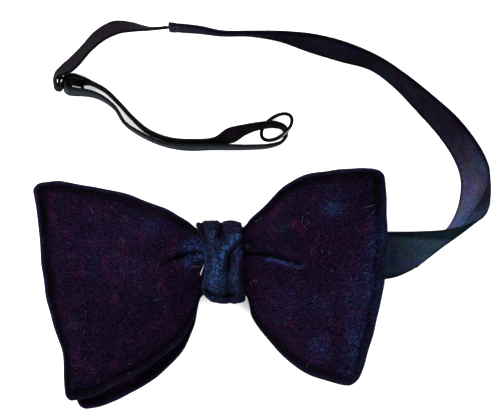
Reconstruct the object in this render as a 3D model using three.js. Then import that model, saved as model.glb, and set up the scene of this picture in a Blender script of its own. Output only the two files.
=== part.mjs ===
// Ready-tied velvet bow tie with an adjustable neck band, lying face up on a flat surface.
// Millimetres, +Z up. The origin is the middle of the knot's back, on the surface.

import * as THREE from 'three';
import { mergeVertices } from 'three/addons/utils/BufferGeometryUtils.js';

// Velvet wings
const RIM_HALF = 2;
const LAYER_GAP = 0.3;
const CORNER_RADIUS = 3.5;
const LEFT_REACH = 66;
const RIGHT_REACH = 56;
const WING_STEPS_ALONG = 19;
const WING_STEPS_ACROSS = 9;
const WAIST_HALF_HEIGHT = 20;
const UNDERLAY_MIDDLE_Y = 1.5;
const UNDERLAY_HALF_WIDTH = 19;

// The rolled rim, the groove beside it and the padded panel, from the edge inwards
const RIM_PROFILE = [
  { inset: 0, half: 1.1 },
  { inset: 1, half: 1.9 },
  { inset: 2.4, half: 2 },
  { inset: 3.4, half: 1.35 },
  { inset: 5.5, half: 1.65 },
];

// Both wings of the front butterfly: the ends of each cross-line, from left tip to right tip
const FRONT_SECTIONS = [
  { along: -1, topX: -69.6, topY: 28.7, bottomX: -57.6, bottomY: -50.4, bulge: 0 },
  { along: -0.86, topX: -59.2, topY: 29.2, bottomX: -51, bottomY: -49.6, bulge: 0 },
  { along: -0.7, topX: -48.3, topY: 27.4, bottomX: -41, bottomY: -45.4, bulge: 0 },
  { along: -0.54, topX: -37.4, topY: 25.2, bottomX: -30.9, bottomY: -40.1, bulge: 0 },
  { along: -0.4, topX: -28, topY: 22.3, bottomX: -22.5, bottomY: -34.1, bulge: 0 },
  { along: -0.27, topX: -20, topY: 18.9, bottomX: -15.6, bottomY: -27.8, bulge: 0 },
  { along: -0.16, topX: -13.4, topY: 14.9, bottomX: -11.1, bottomY: -19.6, bulge: 0 },
  { along: -0.09, topX: -9.6, topY: 12, bottomX: -8.4, bottomY: -12, bulge: 0 },
  { along: 0, topX: -1.5, topY: 10.4, bottomX: -0.5, bottomY: -10.4, bulge: 0 },
  { along: 0.08, topX: 6.4, topY: 12.5, bottomX: 7, bottomY: -11.4, bulge: 0 },
  { along: 0.15, topX: 9.4, topY: 16.2, bottomX: 9.8, bottomY: -19.8, bulge: 0 },
  { along: 0.27, topX: 15.6, topY: 21.8, bottomX: 14.2, bottomY: -26.5, bulge: 0 },
  { along: 0.4, topX: 21.8, topY: 27.8, bottomX: 20.3, bottomY: -33.2, bulge: 0.4 },
  { along: 0.54, topX: 29, topY: 31.6, bottomX: 26.9, bottomY: -38.7, bulge: 1.2 },
  { along: 0.7, topX: 38.5, topY: 33.4, bottomX: 33.8, bottomY: -42.1, bulge: 2.6 },
  { along: 0.86, topX: 48.3, topY: 34.1, bottomX: 41.4, bottomY: -44.3, bulge: 4 },
  { along: 1, topX: 57.2, topY: 34.1, bottomX: 47.6, bottomY: -44.7, bulge: 5.4 },
];

// Soft dents and swellings along the left tip of both butterflies
const TIP_DENTS = [
  { across: 0.1, width: 0.42, depth: -1.3 },
  { across: -0.6, width: 0.26, depth: 1.5 },
];
const TIP_DENT_START = -0.45;

// The butterfly behind it, set a little lower and to the left
const BACK_SECTIONS = [
  { along: -1, topX: -66.5, topY: 24.5, bottomX: -53.2, bottomY: -53.8, bulge: -1.2 },
  { along: -0.86, topX: -56.5, topY: 25, bottomX: -45.2, bottomY: -52.2, bulge: -0.8 },
  { along: -0.7, topX: -46, topY: 23.4, bottomX: -36.8, bottomY: -48.9, bulge: -0.4 },
  { along: -0.54, topX: -35.6, topY: 21.2, bottomX: -28.7, bottomY: -44.5, bulge: 0 },
  { along: -0.4, topX: -27, topY: 18.6, bottomX: -22.1, bottomY: -39.4, bulge: 0 },
  { along: -0.27, topX: -19.6, topY: 15.4, bottomX: -15.4, bottomY: -32.4, bulge: 0 },
  { along: -0.16, topX: -13.4, topY: 12.6, bottomX: -11, bottomY: -22.6, bulge: 0 },
  { along: -0.09, topX: -9.6, topY: 10.8, bottomX: -8.6, bottomY: -11.9, bulge: 0 },
  { along: 0, topX: -1.5, topY: 10.2, bottomX: -0.5, bottomY: -10.2, bulge: 0 },
  { along: 0.08, topX: 6.2, topY: 11.2, bottomX: 7.2, bottomY: -11.2, bulge: 0 },
  { along: 0.15, topX: 9.8, topY: 14, bottomX: 9.4, bottomY: -17.4, bulge: 0 },
  { along: 0.27, topX: 15.6, topY: 19, bottomX: 14.2, bottomY: -24.2, bulge: 0 },
  { along: 0.4, topX: 21.8, topY: 24.6, bottomX: 20.3, bottomY: -30.8, bulge: 0.4 },
  { along: 0.54, topX: 28.6, topY: 28.2, bottomX: 26.5, bottomY: -36.2, bulge: 1.2 },
  { along: 0.7, topX: 37.4, topY: 30.2, bottomX: 33, bottomY: -39.5, bulge: 2.4 },
  { along: 0.86, topX: 46.4, topY: 31, bottomX: 40.4, bottomY: -41.8, bulge: 3.6 },
  { along: 1, topX: 55.2, topY: 31, bottomX: 47.6, bottomY: -42.2, bulge: 4.4 },
];

// How far the wings are held off the surface and how full they are, from left to right
const LAY = [
  { x: -72, lift: 0, pad: 1 },
  { x: -46, lift: 0, pad: 1 },
  { x: -36, lift: 2, pad: 1 },
  { x: -24, lift: 3.3, pad: 0.94 },
  { x: -12, lift: 3.4, pad: 0.72 },
  { x: 0, lift: 3.4, pad: 0.66 },
  { x: 12, lift: 3.4, pad: 0.72 },
  { x: 24, lift: 2.3, pad: 0.94 },
  { x: 36, lift: 1.9, pad: 1 },
  { x: 60, lift: 1.9, pad: 1 },
];

// Soft swellings and creases that run out from the knot over the front wings
const WING_FOLDS = [
  { fromX: -12, fromY: 7, toX: -40, toY: 12, width: 7, height: 1.5 },
  { fromX: -12, fromY: -6, toX: -38, toY: -18, width: 8, height: 1.6 },
  { fromX: -7, fromY: 3, toX: -23, toY: 0, width: 1.7, height: -1.7 },
  { fromX: -9, fromY: -1, toX: -17, toY: -3, width: 1.5, height: 0.9 },
  { fromX: 10, fromY: 8, toX: 38, toY: 16, width: 8, height: 1.6 },
  { fromX: 10, fromY: -6, toX: 36, toY: -16, width: 8, height: 1.5 },
  { fromX: 7, fromY: 3, toX: 31, toY: -2.5, width: 1.6, height: -1.8 },
  { fromX: 15, fromY: 0.4, toX: 31, toY: -4.6, width: 1.6, height: 1 },
];

// Velvet wrap of the knot
const KNOT_HALF_LENGTH = 13.8;
const KNOT_HALF_DEPTH = 4.9;
const KNOT_MIDDLE_Z = 5.7;
const KNOT_WALL_HALF = 0.8;
const KNOT_SQUARENESS = 4;
const KNOT_FOLD_HEIGHT = 1.7;
const KNOT_STEPS_AROUND = 36;
const KNOT_STEPS_ACROSS = 24;

// Round the wrap: 0 is its upper end, 90 the front, 180 the lower end, 270 the back
const KNOT_SECTIONS = [
  { turn: -90, left: -8, leftValley: -3, rightValley: 2, right: 7, fold: 0 },
  { turn: -40, left: -9.4, leftValley: -5, rightValley: 0, right: 6.4, fold: 0.1 },
  { turn: 0, left: -10.3, leftValley: -8.6, rightValley: -1.1, right: 6, fold: 0.3 },
  { turn: 40, left: -10, leftValley: -8, rightValley: -0.6, right: 6.2, fold: 1 },
  { turn: 90, left: -7.4, leftValley: -6, rightValley: 1.1, right: 6.7, fold: 1 },
  { turn: 118, left: -8.4, leftValley: -6.4, rightValley: 1.3, right: 7.2, fold: 1 },
  { turn: 142, left: -7, leftValley: -5.2, rightValley: 1.5, right: 7.5, fold: 0.9 },
  { turn: 165, left: -5, leftValley: -3.4, rightValley: 1.7, right: 7.2, fold: 0.4 },
  { turn: 180, left: -3.8, leftValley: -2.4, rightValley: 1.8, right: 6, fold: 0.2 },
  { turn: 220, left: -7, leftValley: -2, rightValley: 2, right: 6.6, fold: 0 },
  { turn: 270, left: -8, leftValley: -3, rightValley: 2, right: 7, fold: 0 },
];

// Satin neck band: both edges of each cross-line, from the tab behind the left wing
const BAND_HALF_THICKNESS = 0.6;
const BAND_STEPS_PER_SECTION = 3;
const BAND_STEPS_ACROSS = 4;
const BAND_LEAD_IN = [
  { nearX: -22, nearY: -8.7, nearZ: 2.2, farX: -22, farY: 8.7, farZ: 2.2 },
  { nearX: -9, nearY: -8.7, nearZ: 2.5, farX: -9, farY: 8.7, farZ: 2.5 },
  { nearX: 8, nearY: -8.6, nearZ: 2.5, farX: 8, farY: 8.8, farZ: 2.5 },
  { nearX: 24, nearY: -8, nearZ: 1, farX: 24.4, farY: 9.4, farZ: 1 },
  { nearX: 44, nearY: -6.8, nearZ: 0.7, farX: 45, farY: 10.7, farZ: 0.7 },
  { nearX: 56.5, nearY: -6.4, nearZ: 0.7, farX: 60, farY: 11, farZ: 0.8 },
];

// The band rolls under itself along a slanting line: top of the roll, its outside, underneath
const BAND_ROLL = [
  { nearX: 61.6, nearY: -5.6, nearZ: 1.2, farX: 70, farY: 11.2, farZ: 2 },
  { nearX: 66, nearY: -3.8, nearZ: 2.2, farX: 80, farY: 11.9, farZ: 4.4 },
  { nearX: 69, nearY: -1.8, nearZ: 2.9, farX: 88.4, farY: 14, farZ: 6.2 },
  { nearX: 71.4, nearY: 0.6, nearZ: 2.3, farX: 94, farY: 17.2, farZ: 5.4 },
  { nearX: 73.4, nearY: 4, nearZ: 1, farX: 95.9, farY: 20.6, farZ: 4.2 },
  { nearX: 76.4, nearY: 8.2, nearZ: 0.7, farX: 96.2, farY: 23.4, farZ: 4.6 },
];

// From the roll round the neck, standing on its inner edge
const BAND_LOOP = [
  { nearX: 80.7, nearY: 12, nearZ: 0.7, farX: 96.2, farY: 26.2, farZ: 6.6 },
  { nearX: 84.6, nearY: 20, nearZ: 0.7, farX: 95.8, farY: 29.8, farZ: 10.6 },
  { nearX: 85.6, nearY: 29.8, nearZ: 0.7, farX: 94.9, farY: 34.6, farZ: 14.2 },
  { nearX: 83.2, nearY: 37.2, nearZ: 0.7, farX: 92, farY: 40.9, farZ: 15.2 },
  { nearX: 77.7, nearY: 45.7, nearZ: 0.7, farX: 84.3, farY: 51.2, farZ: 15.8 },
  { nearX: 69.7, nearY: 54.8, nearZ: 0.7, farX: 74.6, farY: 59.9, farZ: 16.5 },
  { nearX: 61, nearY: 63.9, nearZ: 0.7, farX: 64.8, farY: 67.6, farZ: 17.1 },
  { nearX: 52.9, nearY: 69.8, nearZ: 0.7, farX: 55.4, farY: 73.8, farZ: 17.3 },
  { nearX: 41.9, nearY: 72.9, nearZ: 0.6, farX: 43.5, farY: 79, farZ: 16.8 },
  { nearX: 31, nearY: 76.2, nearZ: 0.6, farX: 32.3, farY: 81.8, farZ: 17 },
  { nearX: 20.1, nearY: 80.2, nearZ: 0.5, farX: 20.5, farY: 82.8, farZ: 17.6 },
  { nearX: 9.1, nearY: 82.2, nearZ: 0.5, farX: 9.1, farY: 82.8, farZ: 17.9 },
  { nearX: -1, nearY: 82.3, nearZ: 0.5, farX: -1, farY: 82.9, farZ: 17.9 },
  { nearX: -9.2, nearY: 83.2, nearZ: 0.5, farX: -9.2, farY: 84.6, farZ: 17.9 },
  { nearX: -20.2, nearY: 83.9, nearZ: 0.5, farX: -20.2, farY: 85.8, farZ: 17.9 },
];

// Slider: a flat three-bar frame, leaning on its lower side
const SLIDER_LENGTH = 9.6;
const SLIDER_WIDTH = 9.2;
const SLIDER_BAR = 1;
const SLIDER_BEVEL = 0.25;
const SLIDER_CORNER = 1.8;
const SLOT_CORNER = 0.2;
const SLIDER_X = -55.7;
const SLIDER_Y = 64.5;
const SLIDER_Z = 4.9;
const SLIDER_HEADING = -12;
const SLIDER_LEAN = 70;

// Adjuster tape: middle of each cross-line, the way its raised edge points and its lean
const TAPE_WIDTH = 6.5;
const TAPE_HALF_THICKNESS = 0.5;
const TAPE_STEPS_PER_SECTION = 2;
const TAPE_STEPS_ACROSS = 2;
const TAPE_FEED = [
  { x: -20.5, y: 84.8, z: 9, heading: 266, lean: 86 },
  { x: -27, y: 84.3, z: 8.8, heading: 272, lean: 82 },
  { x: -34, y: 85, z: 8, heading: 276, lean: 56 },
  { x: -39.5, y: 84.8, z: 7, heading: 292, lean: 36 },
  { x: -45.4, y: 81.8, z: 6, heading: 310, lean: 40 },
  { x: -50.2, y: 77.2, z: 5.4, heading: 318, lean: 52 },
  { x: -54.2, y: 72.8, z: 5, heading: 320, lean: 54 },
  { x: -57.3, y: 70.1, z: 5, heading: 324, lean: 62 },
  { x: -60.2, y: 68.3, z: 5, heading: 345, lean: 78 },
  { x: -61.4, y: 66.2, z: 5, heading: 376, lean: 88 },
];

// Through the slider: distance along it and off its middle plane
const TAPE_THREADING = [
  { along: -5.6, off: 1 },
  { along: -4.6, off: 1.75 },
  { along: -3.4, off: 1.4 },
  { along: -2.8, off: 0 },
  { along: -2.3, off: -1.7 },
  { along: 0, off: -2.7 },
  { along: 2.7, off: -2.5 },
  { along: 4.8, off: -2.1 },
];
const TAPE_LOOP = [
  { x: -48.6, y: 64.9, z: 3.6, heading: 72, lean: 80 },
  { x: -43.4, y: 62.2, z: 3.5, heading: 58, lean: 83 },
  { x: -38.4, y: 57.5, z: 3.6, heading: 46, lean: 84 },
  { x: -33.7, y: 52.4, z: 3.6, heading: 46, lean: 84 },
  { x: -28, y: 47.4, z: 3.6, heading: 60, lean: 80 },
  { x: -20, y: 44.3, z: 3.6, heading: 76, lean: 80 },
  { x: -11, y: 43.6, z: 3.6, heading: 90, lean: 78 },
  { x: -3.6, y: 44, z: 3.6, heading: 102, lean: 72 },
  { x: 2, y: 45.9, z: 3.8, heading: 112, lean: 30 },
  { x: 7.3, y: 48, z: 5, heading: 108, lean: 58 },
  { x: 13, y: 49.4, z: 6.3, heading: 94, lean: 70 },
  { x: 18, y: 49.8, z: 4.9, heading: 76, lean: 72 },
  { x: 21.4, y: 48.6, z: 4, heading: 40, lean: 76 },
  { x: 22.1, y: 46.3, z: 3.7, heading: -8, lean: 84 },
  { x: 20.7, y: 43.7, z: 3.7, heading: -52, lean: 90 },
  { x: 16.6, y: 42.2, z: 3.7, heading: -76, lean: 96 },
  { x: 8, y: 41.6, z: 3.6, heading: -90, lean: 100 },
  { x: -3.6, y: 41.6, z: 3.6, heading: -90, lean: 100 },
  { x: -14.5, y: 41.4, z: 3.6, heading: -92, lean: 100 },
  { x: -23, y: 43, z: 3.6, heading: -104, lean: 98 },
  { x: -30.9, y: 46.6, z: 3.6, heading: -124, lean: 98 },
  { x: -36.3, y: 50.4, z: 3.6, heading: -136, lean: 94 },
  { x: -39.9, y: 55.9, z: 3.8, heading: -130, lean: 95 },
  { x: -45.6, y: 60, z: 4.4, heading: -112, lean: 102 },
];
const TAPE_SEWN_END = [
  { along: 5, off: 2 },
  { along: 2, off: 2 },
  { along: 0.3, off: 1.4 },
  { along: -0.9, off: 0.8 },
  { along: -1.15, off: 0 },
  { along: -0.9, off: -0.75 },
  { along: 0, off: -1.2 },
  { along: 1.4, off: -1.15 },
];

// Ring: round wire, one side on the surface, the other held up by the tape
const RING_RADIUS = 6.4;
const RING_WIRE_RADIUS = 0.65;
const RING_X = 18.7;
const RING_Y = 48.9;
const RING_HEADING = 38;
const RING_TILT = 55;
const RING_STEPS_AROUND = 26;
const RING_STEPS_WIRE = 8;

// Hook plate, sewn under the band's tab
const HOOK_THICKNESS = 1;
const HOOK_BEVEL = 0.15;
const HOOK_X = -27;
const HOOK_LENGTH = 13;
const HOOK_WIDTH = 7;
const HOOK_MOUTH = 3;
const HOOK_Z = 0.25;

const VELVET = { color: 0x171226, roughness: 0.95, metalness: 0 };
const KNOT_VELVET = { color: 0x1d1e38, roughness: 0.93, metalness: 0 };
const SATIN = { color: 0x1c1b30, roughness: 0.45, metalness: 0 };
const TAPE = { color: 0x15121c, roughness: 0.85, metalness: 0 };
const BLACK_METAL = { color: 0x16141b, roughness: 0.4, metalness: 0.85 };

const toRadians = THREE.MathUtils.degToRad;
const mix = THREE.MathUtils.lerp;

// Smooth values between the rows of a table, by its key column
function readTable(rows, key, value) {
  const last = rows.length - 1;
  let i = 0;
  while (i < last - 1 && value > rows[i + 1][key]) i += 1;
  const before = rows[Math.max(i - 1, 0)];
  const from = rows[i];
  const to = rows[i + 1];
  const after = rows[Math.min(i + 2, last)];
  const span = to[key] - from[key];
  const t = THREE.MathUtils.clamp((value - from[key]) / span, 0, 1);
  const result = {};
  for (const column of Object.keys(from)) {
    const slopeFrom = ((to[column] - before[column]) / (to[key] - before[key])) * span;
    const slopeTo = ((after[column] - from[column]) / (after[key] - from[key])) * span;
    const rise = to[column] - from[column];
    const bend = t * (1 - t) * ((slopeFrom - rise) * (1 - t) - (slopeTo - rise) * t);
    result[column] = from[column] + rise * t + bend;
  }
  return result;
}

// A closed slab whose every vertex is carried to its place on the object
function shapeSlab(stepsLong, stepsWide, place) {
  const slab = new THREE.BoxGeometry(2, 2, 2, stepsLong, stepsWide, 1);
  return shapeClosed(slab, place);
}

function shapeClosed(blank, place) {
  blank.deleteAttribute('normal');
  blank.deleteAttribute('uv');
  const geometry = mergeVertices(blank);
  const position = geometry.attributes.position;
  const point = new THREE.Vector3();
  for (let i = 0; i < position.count; i += 1) {
    point.fromBufferAttribute(position, i);
    place(point);
    position.setXYZ(i, point.x, point.y, point.z);
  }
  return geometry;
}

function foldRelief(folds, x, y) {
  let relief = 0;
  for (const fold of folds) {
    const runX = fold.toX - fold.fromX;
    const runY = fold.toY - fold.fromY;
    const length = Math.hypot(runX, runY);
    const along = ((x - fold.fromX) * runX + (y - fold.fromY) * runY) / length;
    const off = ((y - fold.fromY) * runX - (x - fold.fromX) * runY) / length;
    const past = Math.max(-along, along - length, 0);
    const fade = 1 - THREE.MathUtils.smoothstep(along, length * 0.45, length);
    relief += fold.height * fade * Math.exp(-((off / fold.width) ** 2) - (past / 2) ** 2);
  }
  return relief;
}

// Distance in from an edge for a step number, rim steps first and the panel shared evenly
function insetOf(step, steps, reach, scale) {
  const lastRim = RIM_PROFILE.length - 1;
  const whole = Math.round(step);
  if (whole <= lastRim) return RIM_PROFILE[whole].inset * scale;
  return mix(RIM_PROFILE[lastRim].inset * scale, reach, (whole - lastRim) / (steps - lastRim));
}

function halfThickness(inset) {
  const last = RIM_PROFILE[RIM_PROFILE.length - 1];
  if (inset >= last.inset) return last.half;
  const i = RIM_PROFILE.findIndex((row) => row.inset > inset) - 1;
  const from = RIM_PROFILE[i];
  const to = RIM_PROFILE[i + 1];
  return mix(from.half, to.half, (inset - from.inset) / (to.inset - from.inset));
}

function tipDent(along, across) {
  const share = THREE.MathUtils.clamp((along - TIP_DENT_START) / (-1 - TIP_DENT_START), 0, 1);
  const dents = TIP_DENTS.map(
    (dent) => dent.depth * Math.exp(-(((across - dent.across) / dent.width) ** 2)),
  );
  return share * dents.reduce((sum, dent) => sum + dent, 0);
}

function bowLayer(sections, layersBelow, folds) {
  return shapeSlab(2 * WING_STEPS_ALONG, 2 * WING_STEPS_ACROSS, (point) => {
    const side = Math.sign(point.x);
    const end = Math.sign(point.y);
    const reach = side < 0 ? LEFT_REACH : RIGHT_REACH;
    const stepIn = (1 - Math.abs(point.x)) * WING_STEPS_ALONG;
    let tipInset = insetOf(stepIn, WING_STEPS_ALONG, reach, 1);
    const rough = readTable(sections, 'along', side * (1 - tipInset / reach));
    const halfHeight = (rough.topY - rough.bottomY) / 2;
    const rimScale = Math.min(1, halfHeight / WAIST_HALF_HEIGHT);
    const stepAcross = (1 - Math.abs(point.y)) * WING_STEPS_ACROSS;
    let edgeInset = insetOf(stepAcross, WING_STEPS_ACROSS, halfHeight, rimScale);
    const inset = Math.min(tipInset, edgeInset / rimScale);
    if (tipInset < CORNER_RADIUS && edgeInset < CORNER_RADIUS) {
      const u = 1 - tipInset / CORNER_RADIUS;
      const v = 1 - edgeInset / CORNER_RADIUS;
      tipInset = CORNER_RADIUS * (1 - u * Math.sqrt(1 - (v * v) / 2));
      edgeInset = CORNER_RADIUS * (1 - v * Math.sqrt(1 - (u * u) / 2));
    }
    const row = readTable(sections, 'along', side * (1 - tipInset / reach));
    const across = end * (1 - edgeInset / halfHeight);
    const x = mix(row.bottomX, row.topX, (across + 1) / 2) + row.bulge * (1 - across * across)
      + tipDent(row.along, across);
    const y = mix(row.bottomY, row.topY, (across + 1) / 2);
    const lay = readTable(LAY, 'x', x);
    const spread = Math.exp(-(((y - UNDERLAY_MIDDLE_Y) / UNDERLAY_HALF_WIDTH) ** 4));
    const base = Math.max(0, lay.lift * spread) + layersBelow * (2 * RIM_HALF * lay.pad + LAYER_GAP);
    const relief = point.z > 0 ? foldRelief(folds, x, y) : 0;
    const settle = THREE.MathUtils.smoothstep(inset, RIM_PROFILE[2].inset, 2 * RIM_PROFILE[4].inset);
    const z = base + lay.pad * (RIM_HALF + Math.sign(point.z) * halfThickness(inset)) + relief * settle;
    point.set(x, y, z);
  });
}

function knotWrap() {
  const blank = new THREE.TorusGeometry(2, 1, KNOT_STEPS_ACROSS, KNOT_STEPS_AROUND);
  const power = 2 / KNOT_SQUARENESS;
  const rounded = (value, exponent) => Math.sign(value) * Math.abs(value) ** exponent;
  return shapeClosed(blank, (point) => {
    const turn = Math.atan2(point.y, point.x);
    const outward = Math.hypot(point.x, point.y) - 2;
    const degrees = THREE.MathUtils.radToDeg(turn);
    const row = readTable(KNOT_SECTIONS, 'turn', degrees < -90 ? degrees + 360 : degrees);
    const across = rounded(point.z, 0.8);
    const wall = rounded(outward, 0.45);
    const x = mix(row.left, row.right, (across + 1) / 2);
    const middleY = KNOT_HALF_LENGTH * rounded(Math.cos(turn), power);
    const middleZ = KNOT_HALF_DEPTH * rounded(Math.sin(turn), power);
    const normalY = rounded(middleY / KNOT_HALF_LENGTH, KNOT_SQUARENESS - 1) / KNOT_HALF_LENGTH;
    const normalZ = rounded(middleZ / KNOT_HALF_DEPTH, KNOT_SQUARENESS - 1) / KNOT_HALF_DEPTH;
    const normalLength = Math.hypot(normalY, normalZ);
    const valleys = [row.left, row.leftValley, row.rightValley, row.right];
    const next = Math.max(1, valleys.findIndex((valley) => valley >= x));
    const share = (x - valleys[next - 1]) / (valleys[next] - valleys[next - 1]);
    const fullness = Math.min(1, (valleys[next] - valleys[next - 1]) / 6);
    const lump = Math.sqrt(Math.max(0, Math.sin(Math.PI * share))) * fullness;
    const fold = outward > 0 ? row.fold * KNOT_FOLD_HEIGHT * lump : 0;
    const off = (wall * KNOT_WALL_HALF + fold) / normalLength;
    const z = KNOT_MIDDLE_Z + middleZ + normalZ * off;
    point.set(x, middleY + normalY * off, Math.max(0, z));
  });
}

function strip(rows, halfThick, stepsPerSection, stepsAcross) {
  const edges = ['near', 'far'].map((edge) => new THREE.CatmullRomCurve3(
    rows.map((row) => new THREE.Vector3(row[`${edge}X`], row[`${edge}Y`], row[`${edge}Z`])),
  ));
  const pointAt = (t, share) => {
    const near = edges[0].getPoint(THREE.MathUtils.clamp(t, 0, 1));
    const far = edges[1].getPoint(THREE.MathUtils.clamp(t, 0, 1));
    return near.lerp(far, share);
  };
  const stepsLong = stepsPerSection * (rows.length - 1);
  const nudge = 0.25 / stepsLong;
  return shapeSlab(stepsLong, stepsAcross, (point) => {
    const t = (point.x + 1) / 2;
    const share = (point.y + 1) / 2;
    const tangent = pointAt(t + nudge, share).sub(pointAt(t - nudge, share));
    const ruling = pointAt(t, 1).sub(pointAt(t, 0));
    const normal = tangent.cross(ruling).normalize();
    const surface = pointAt(t, share);
    point.copy(surface.addScaledVector(normal, point.z * halfThick));
  });
}

// Length, width and face directions of the leaning slider
function sliderPlace() {
  const heading = toRadians(SLIDER_HEADING);
  const lean = toRadians(SLIDER_LEAN);
  const length = new THREE.Vector3(Math.cos(heading), Math.sin(heading), 0);
  const flatWidth = new THREE.Vector3(-Math.sin(heading), Math.cos(heading), 0);
  const width = flatWidth.multiplyScalar(Math.cos(lean)).add(new THREE.Vector3(0, 0, Math.sin(lean)));
  const face = new THREE.Vector3().crossVectors(length, width);
  const middle = new THREE.Vector3(SLIDER_X, SLIDER_Y, SLIDER_Z);
  return { length, width, face, middle };
}

function edgesFromMiddle(middle, across) {
  const near = middle.clone().addScaledVector(across, -TAPE_WIDTH / 2);
  const far = middle.clone().addScaledVector(across, TAPE_WIDTH / 2);
  return { nearX: near.x, nearY: near.y, nearZ: near.z, farX: far.x, farY: far.y, farZ: far.z };
}

function leaningRow(row) {
  const heading = toRadians(row.heading);
  const lean = toRadians(row.lean);
  const flat = Math.cos(lean);
  const across = new THREE.Vector3(Math.cos(heading) * flat, Math.sin(heading) * flat, Math.sin(lean));
  return edgesFromMiddle(new THREE.Vector3(row.x, row.y, row.z), across);
}

function threadedRow(row) {
  const { length, width, face, middle } = sliderPlace();
  const place = middle.addScaledVector(length, row.along).addScaledVector(face, row.off);
  return edgesFromMiddle(place, width);
}

function roundedRectangle(width, height, radius, PathKind, centreX) {
  const path = new PathKind();
  const x = width / 2 - radius;
  const y = height / 2 - radius;
  path.absarc(centreX + x, y, radius, 0, Math.PI / 2);
  path.absarc(centreX - x, y, radius, Math.PI / 2, Math.PI);
  path.absarc(centreX - x, -y, radius, Math.PI, 1.5 * Math.PI);
  path.absarc(centreX + x, -y, radius, 1.5 * Math.PI, 2 * Math.PI);
  return path;
}

function sliderFrame() {
  const shape = roundedRectangle(SLIDER_LENGTH, SLIDER_WIDTH, SLIDER_CORNER, THREE.Shape, 0);
  const slotLength = (SLIDER_LENGTH - 3 * SLIDER_BAR) / 2;
  const slotWidth = SLIDER_WIDTH - 2 * SLIDER_BAR;
  for (const side of [-1, 1]) {
    const centre = (side * (slotLength + SLIDER_BAR)) / 2;
    shape.holes.push(roundedRectangle(slotLength, slotWidth, SLOT_CORNER, THREE.Path, centre));
  }
  const geometry = new THREE.ExtrudeGeometry(shape, {
    depth: SLIDER_BAR - 2 * SLIDER_BEVEL,
    bevelThickness: SLIDER_BEVEL,
    bevelSize: SLIDER_BEVEL,
    bevelOffset: -SLIDER_BEVEL,
    bevelSegments: 1,
    curveSegments: 3,
  });
  geometry.translate(0, 0, SLIDER_BEVEL - SLIDER_BAR / 2);
  const { length, width, face, middle } = sliderPlace();
  geometry.applyMatrix4(new THREE.Matrix4().makeBasis(length, width, face).setPosition(middle));
  return geometry;
}

function ring() {
  const geometry = new THREE.TorusGeometry(
    RING_RADIUS, RING_WIRE_RADIUS, RING_STEPS_WIRE, RING_STEPS_AROUND,
  );
  geometry.rotateX(toRadians(RING_TILT));
  geometry.rotateZ(toRadians(RING_HEADING) + Math.PI);
  geometry.computeBoundingBox();
  geometry.translate(RING_X, RING_Y, -geometry.boundingBox.min.z);
  return geometry;
}

function hookPlate() {
  const half = HOOK_WIDTH / 2;
  const shape = new THREE.Shape();
  shape.moveTo(HOOK_LENGTH / 2, -half);
  shape.lineTo(HOOK_LENGTH / 2, half);
  shape.lineTo(-HOOK_LENGTH / 2 + half, half);
  shape.absarc(-HOOK_LENGTH / 2 + half, 0, half, Math.PI / 2, 1.5 * Math.PI);
  shape.lineTo(0, -half);
  shape.lineTo(0, -HOOK_MOUTH / 2);
  shape.lineTo(-HOOK_LENGTH / 2 + half, -HOOK_MOUTH / 2);
  shape.absarc(-HOOK_LENGTH / 2 + half, 0, HOOK_MOUTH / 2, 1.5 * Math.PI, Math.PI / 2, true);
  shape.lineTo(HOOK_MOUTH / 2, HOOK_MOUTH / 2);
  shape.lineTo(HOOK_MOUTH / 2, -half);
  const geometry = new THREE.ExtrudeGeometry(shape, {
    depth: HOOK_THICKNESS - 2 * HOOK_BEVEL,
    bevelThickness: HOOK_BEVEL,
    bevelSize: HOOK_BEVEL,
    bevelOffset: -HOOK_BEVEL,
    bevelSegments: 1,
    curveSegments: 6,
  });
  geometry.translate(HOOK_X, 0, HOOK_Z + HOOK_BEVEL);
  return geometry;
}

function add(name, geometry, material) {
  geometry.computeVertexNormals();
  const mesh = new THREE.Mesh(geometry, new THREE.MeshStandardMaterial(material));
  mesh.name = name;
  group.add(mesh);
}

const group = new THREE.Group();
const bandRows = [...BAND_LEAD_IN, ...BAND_ROLL, ...BAND_LOOP];
const tapeRows = [
  ...TAPE_FEED.map(leaningRow),
  ...TAPE_THREADING.map(threadedRow),
  ...TAPE_LOOP.map(leaningRow),
  ...TAPE_SEWN_END.map(threadedRow),
];

add('back_bow', bowLayer(BACK_SECTIONS, 0, []), VELVET);
add('front_bow', bowLayer(FRONT_SECTIONS, 1, WING_FOLDS), VELVET);
add('knot', knotWrap(), KNOT_VELVET);
add(
  'neck_band',
  strip(bandRows, BAND_HALF_THICKNESS, BAND_STEPS_PER_SECTION, BAND_STEPS_ACROSS),
  SATIN,
);
add(
  'adjuster_tape',
  strip(tapeRows, TAPE_HALF_THICKNESS, TAPE_STEPS_PER_SECTION, TAPE_STEPS_ACROSS),
  TAPE,
);
add('slider', sliderFrame(), BLACK_METAL);
add('ring', ring(), BLACK_METAL);
add('hook', hookPlate(), BLACK_METAL);

export default group;
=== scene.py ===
import math
import random

import bmesh
import bpy
from mathutils import Matrix, Vector, noise
from mathutils.bvhtree import BVHTree


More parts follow.
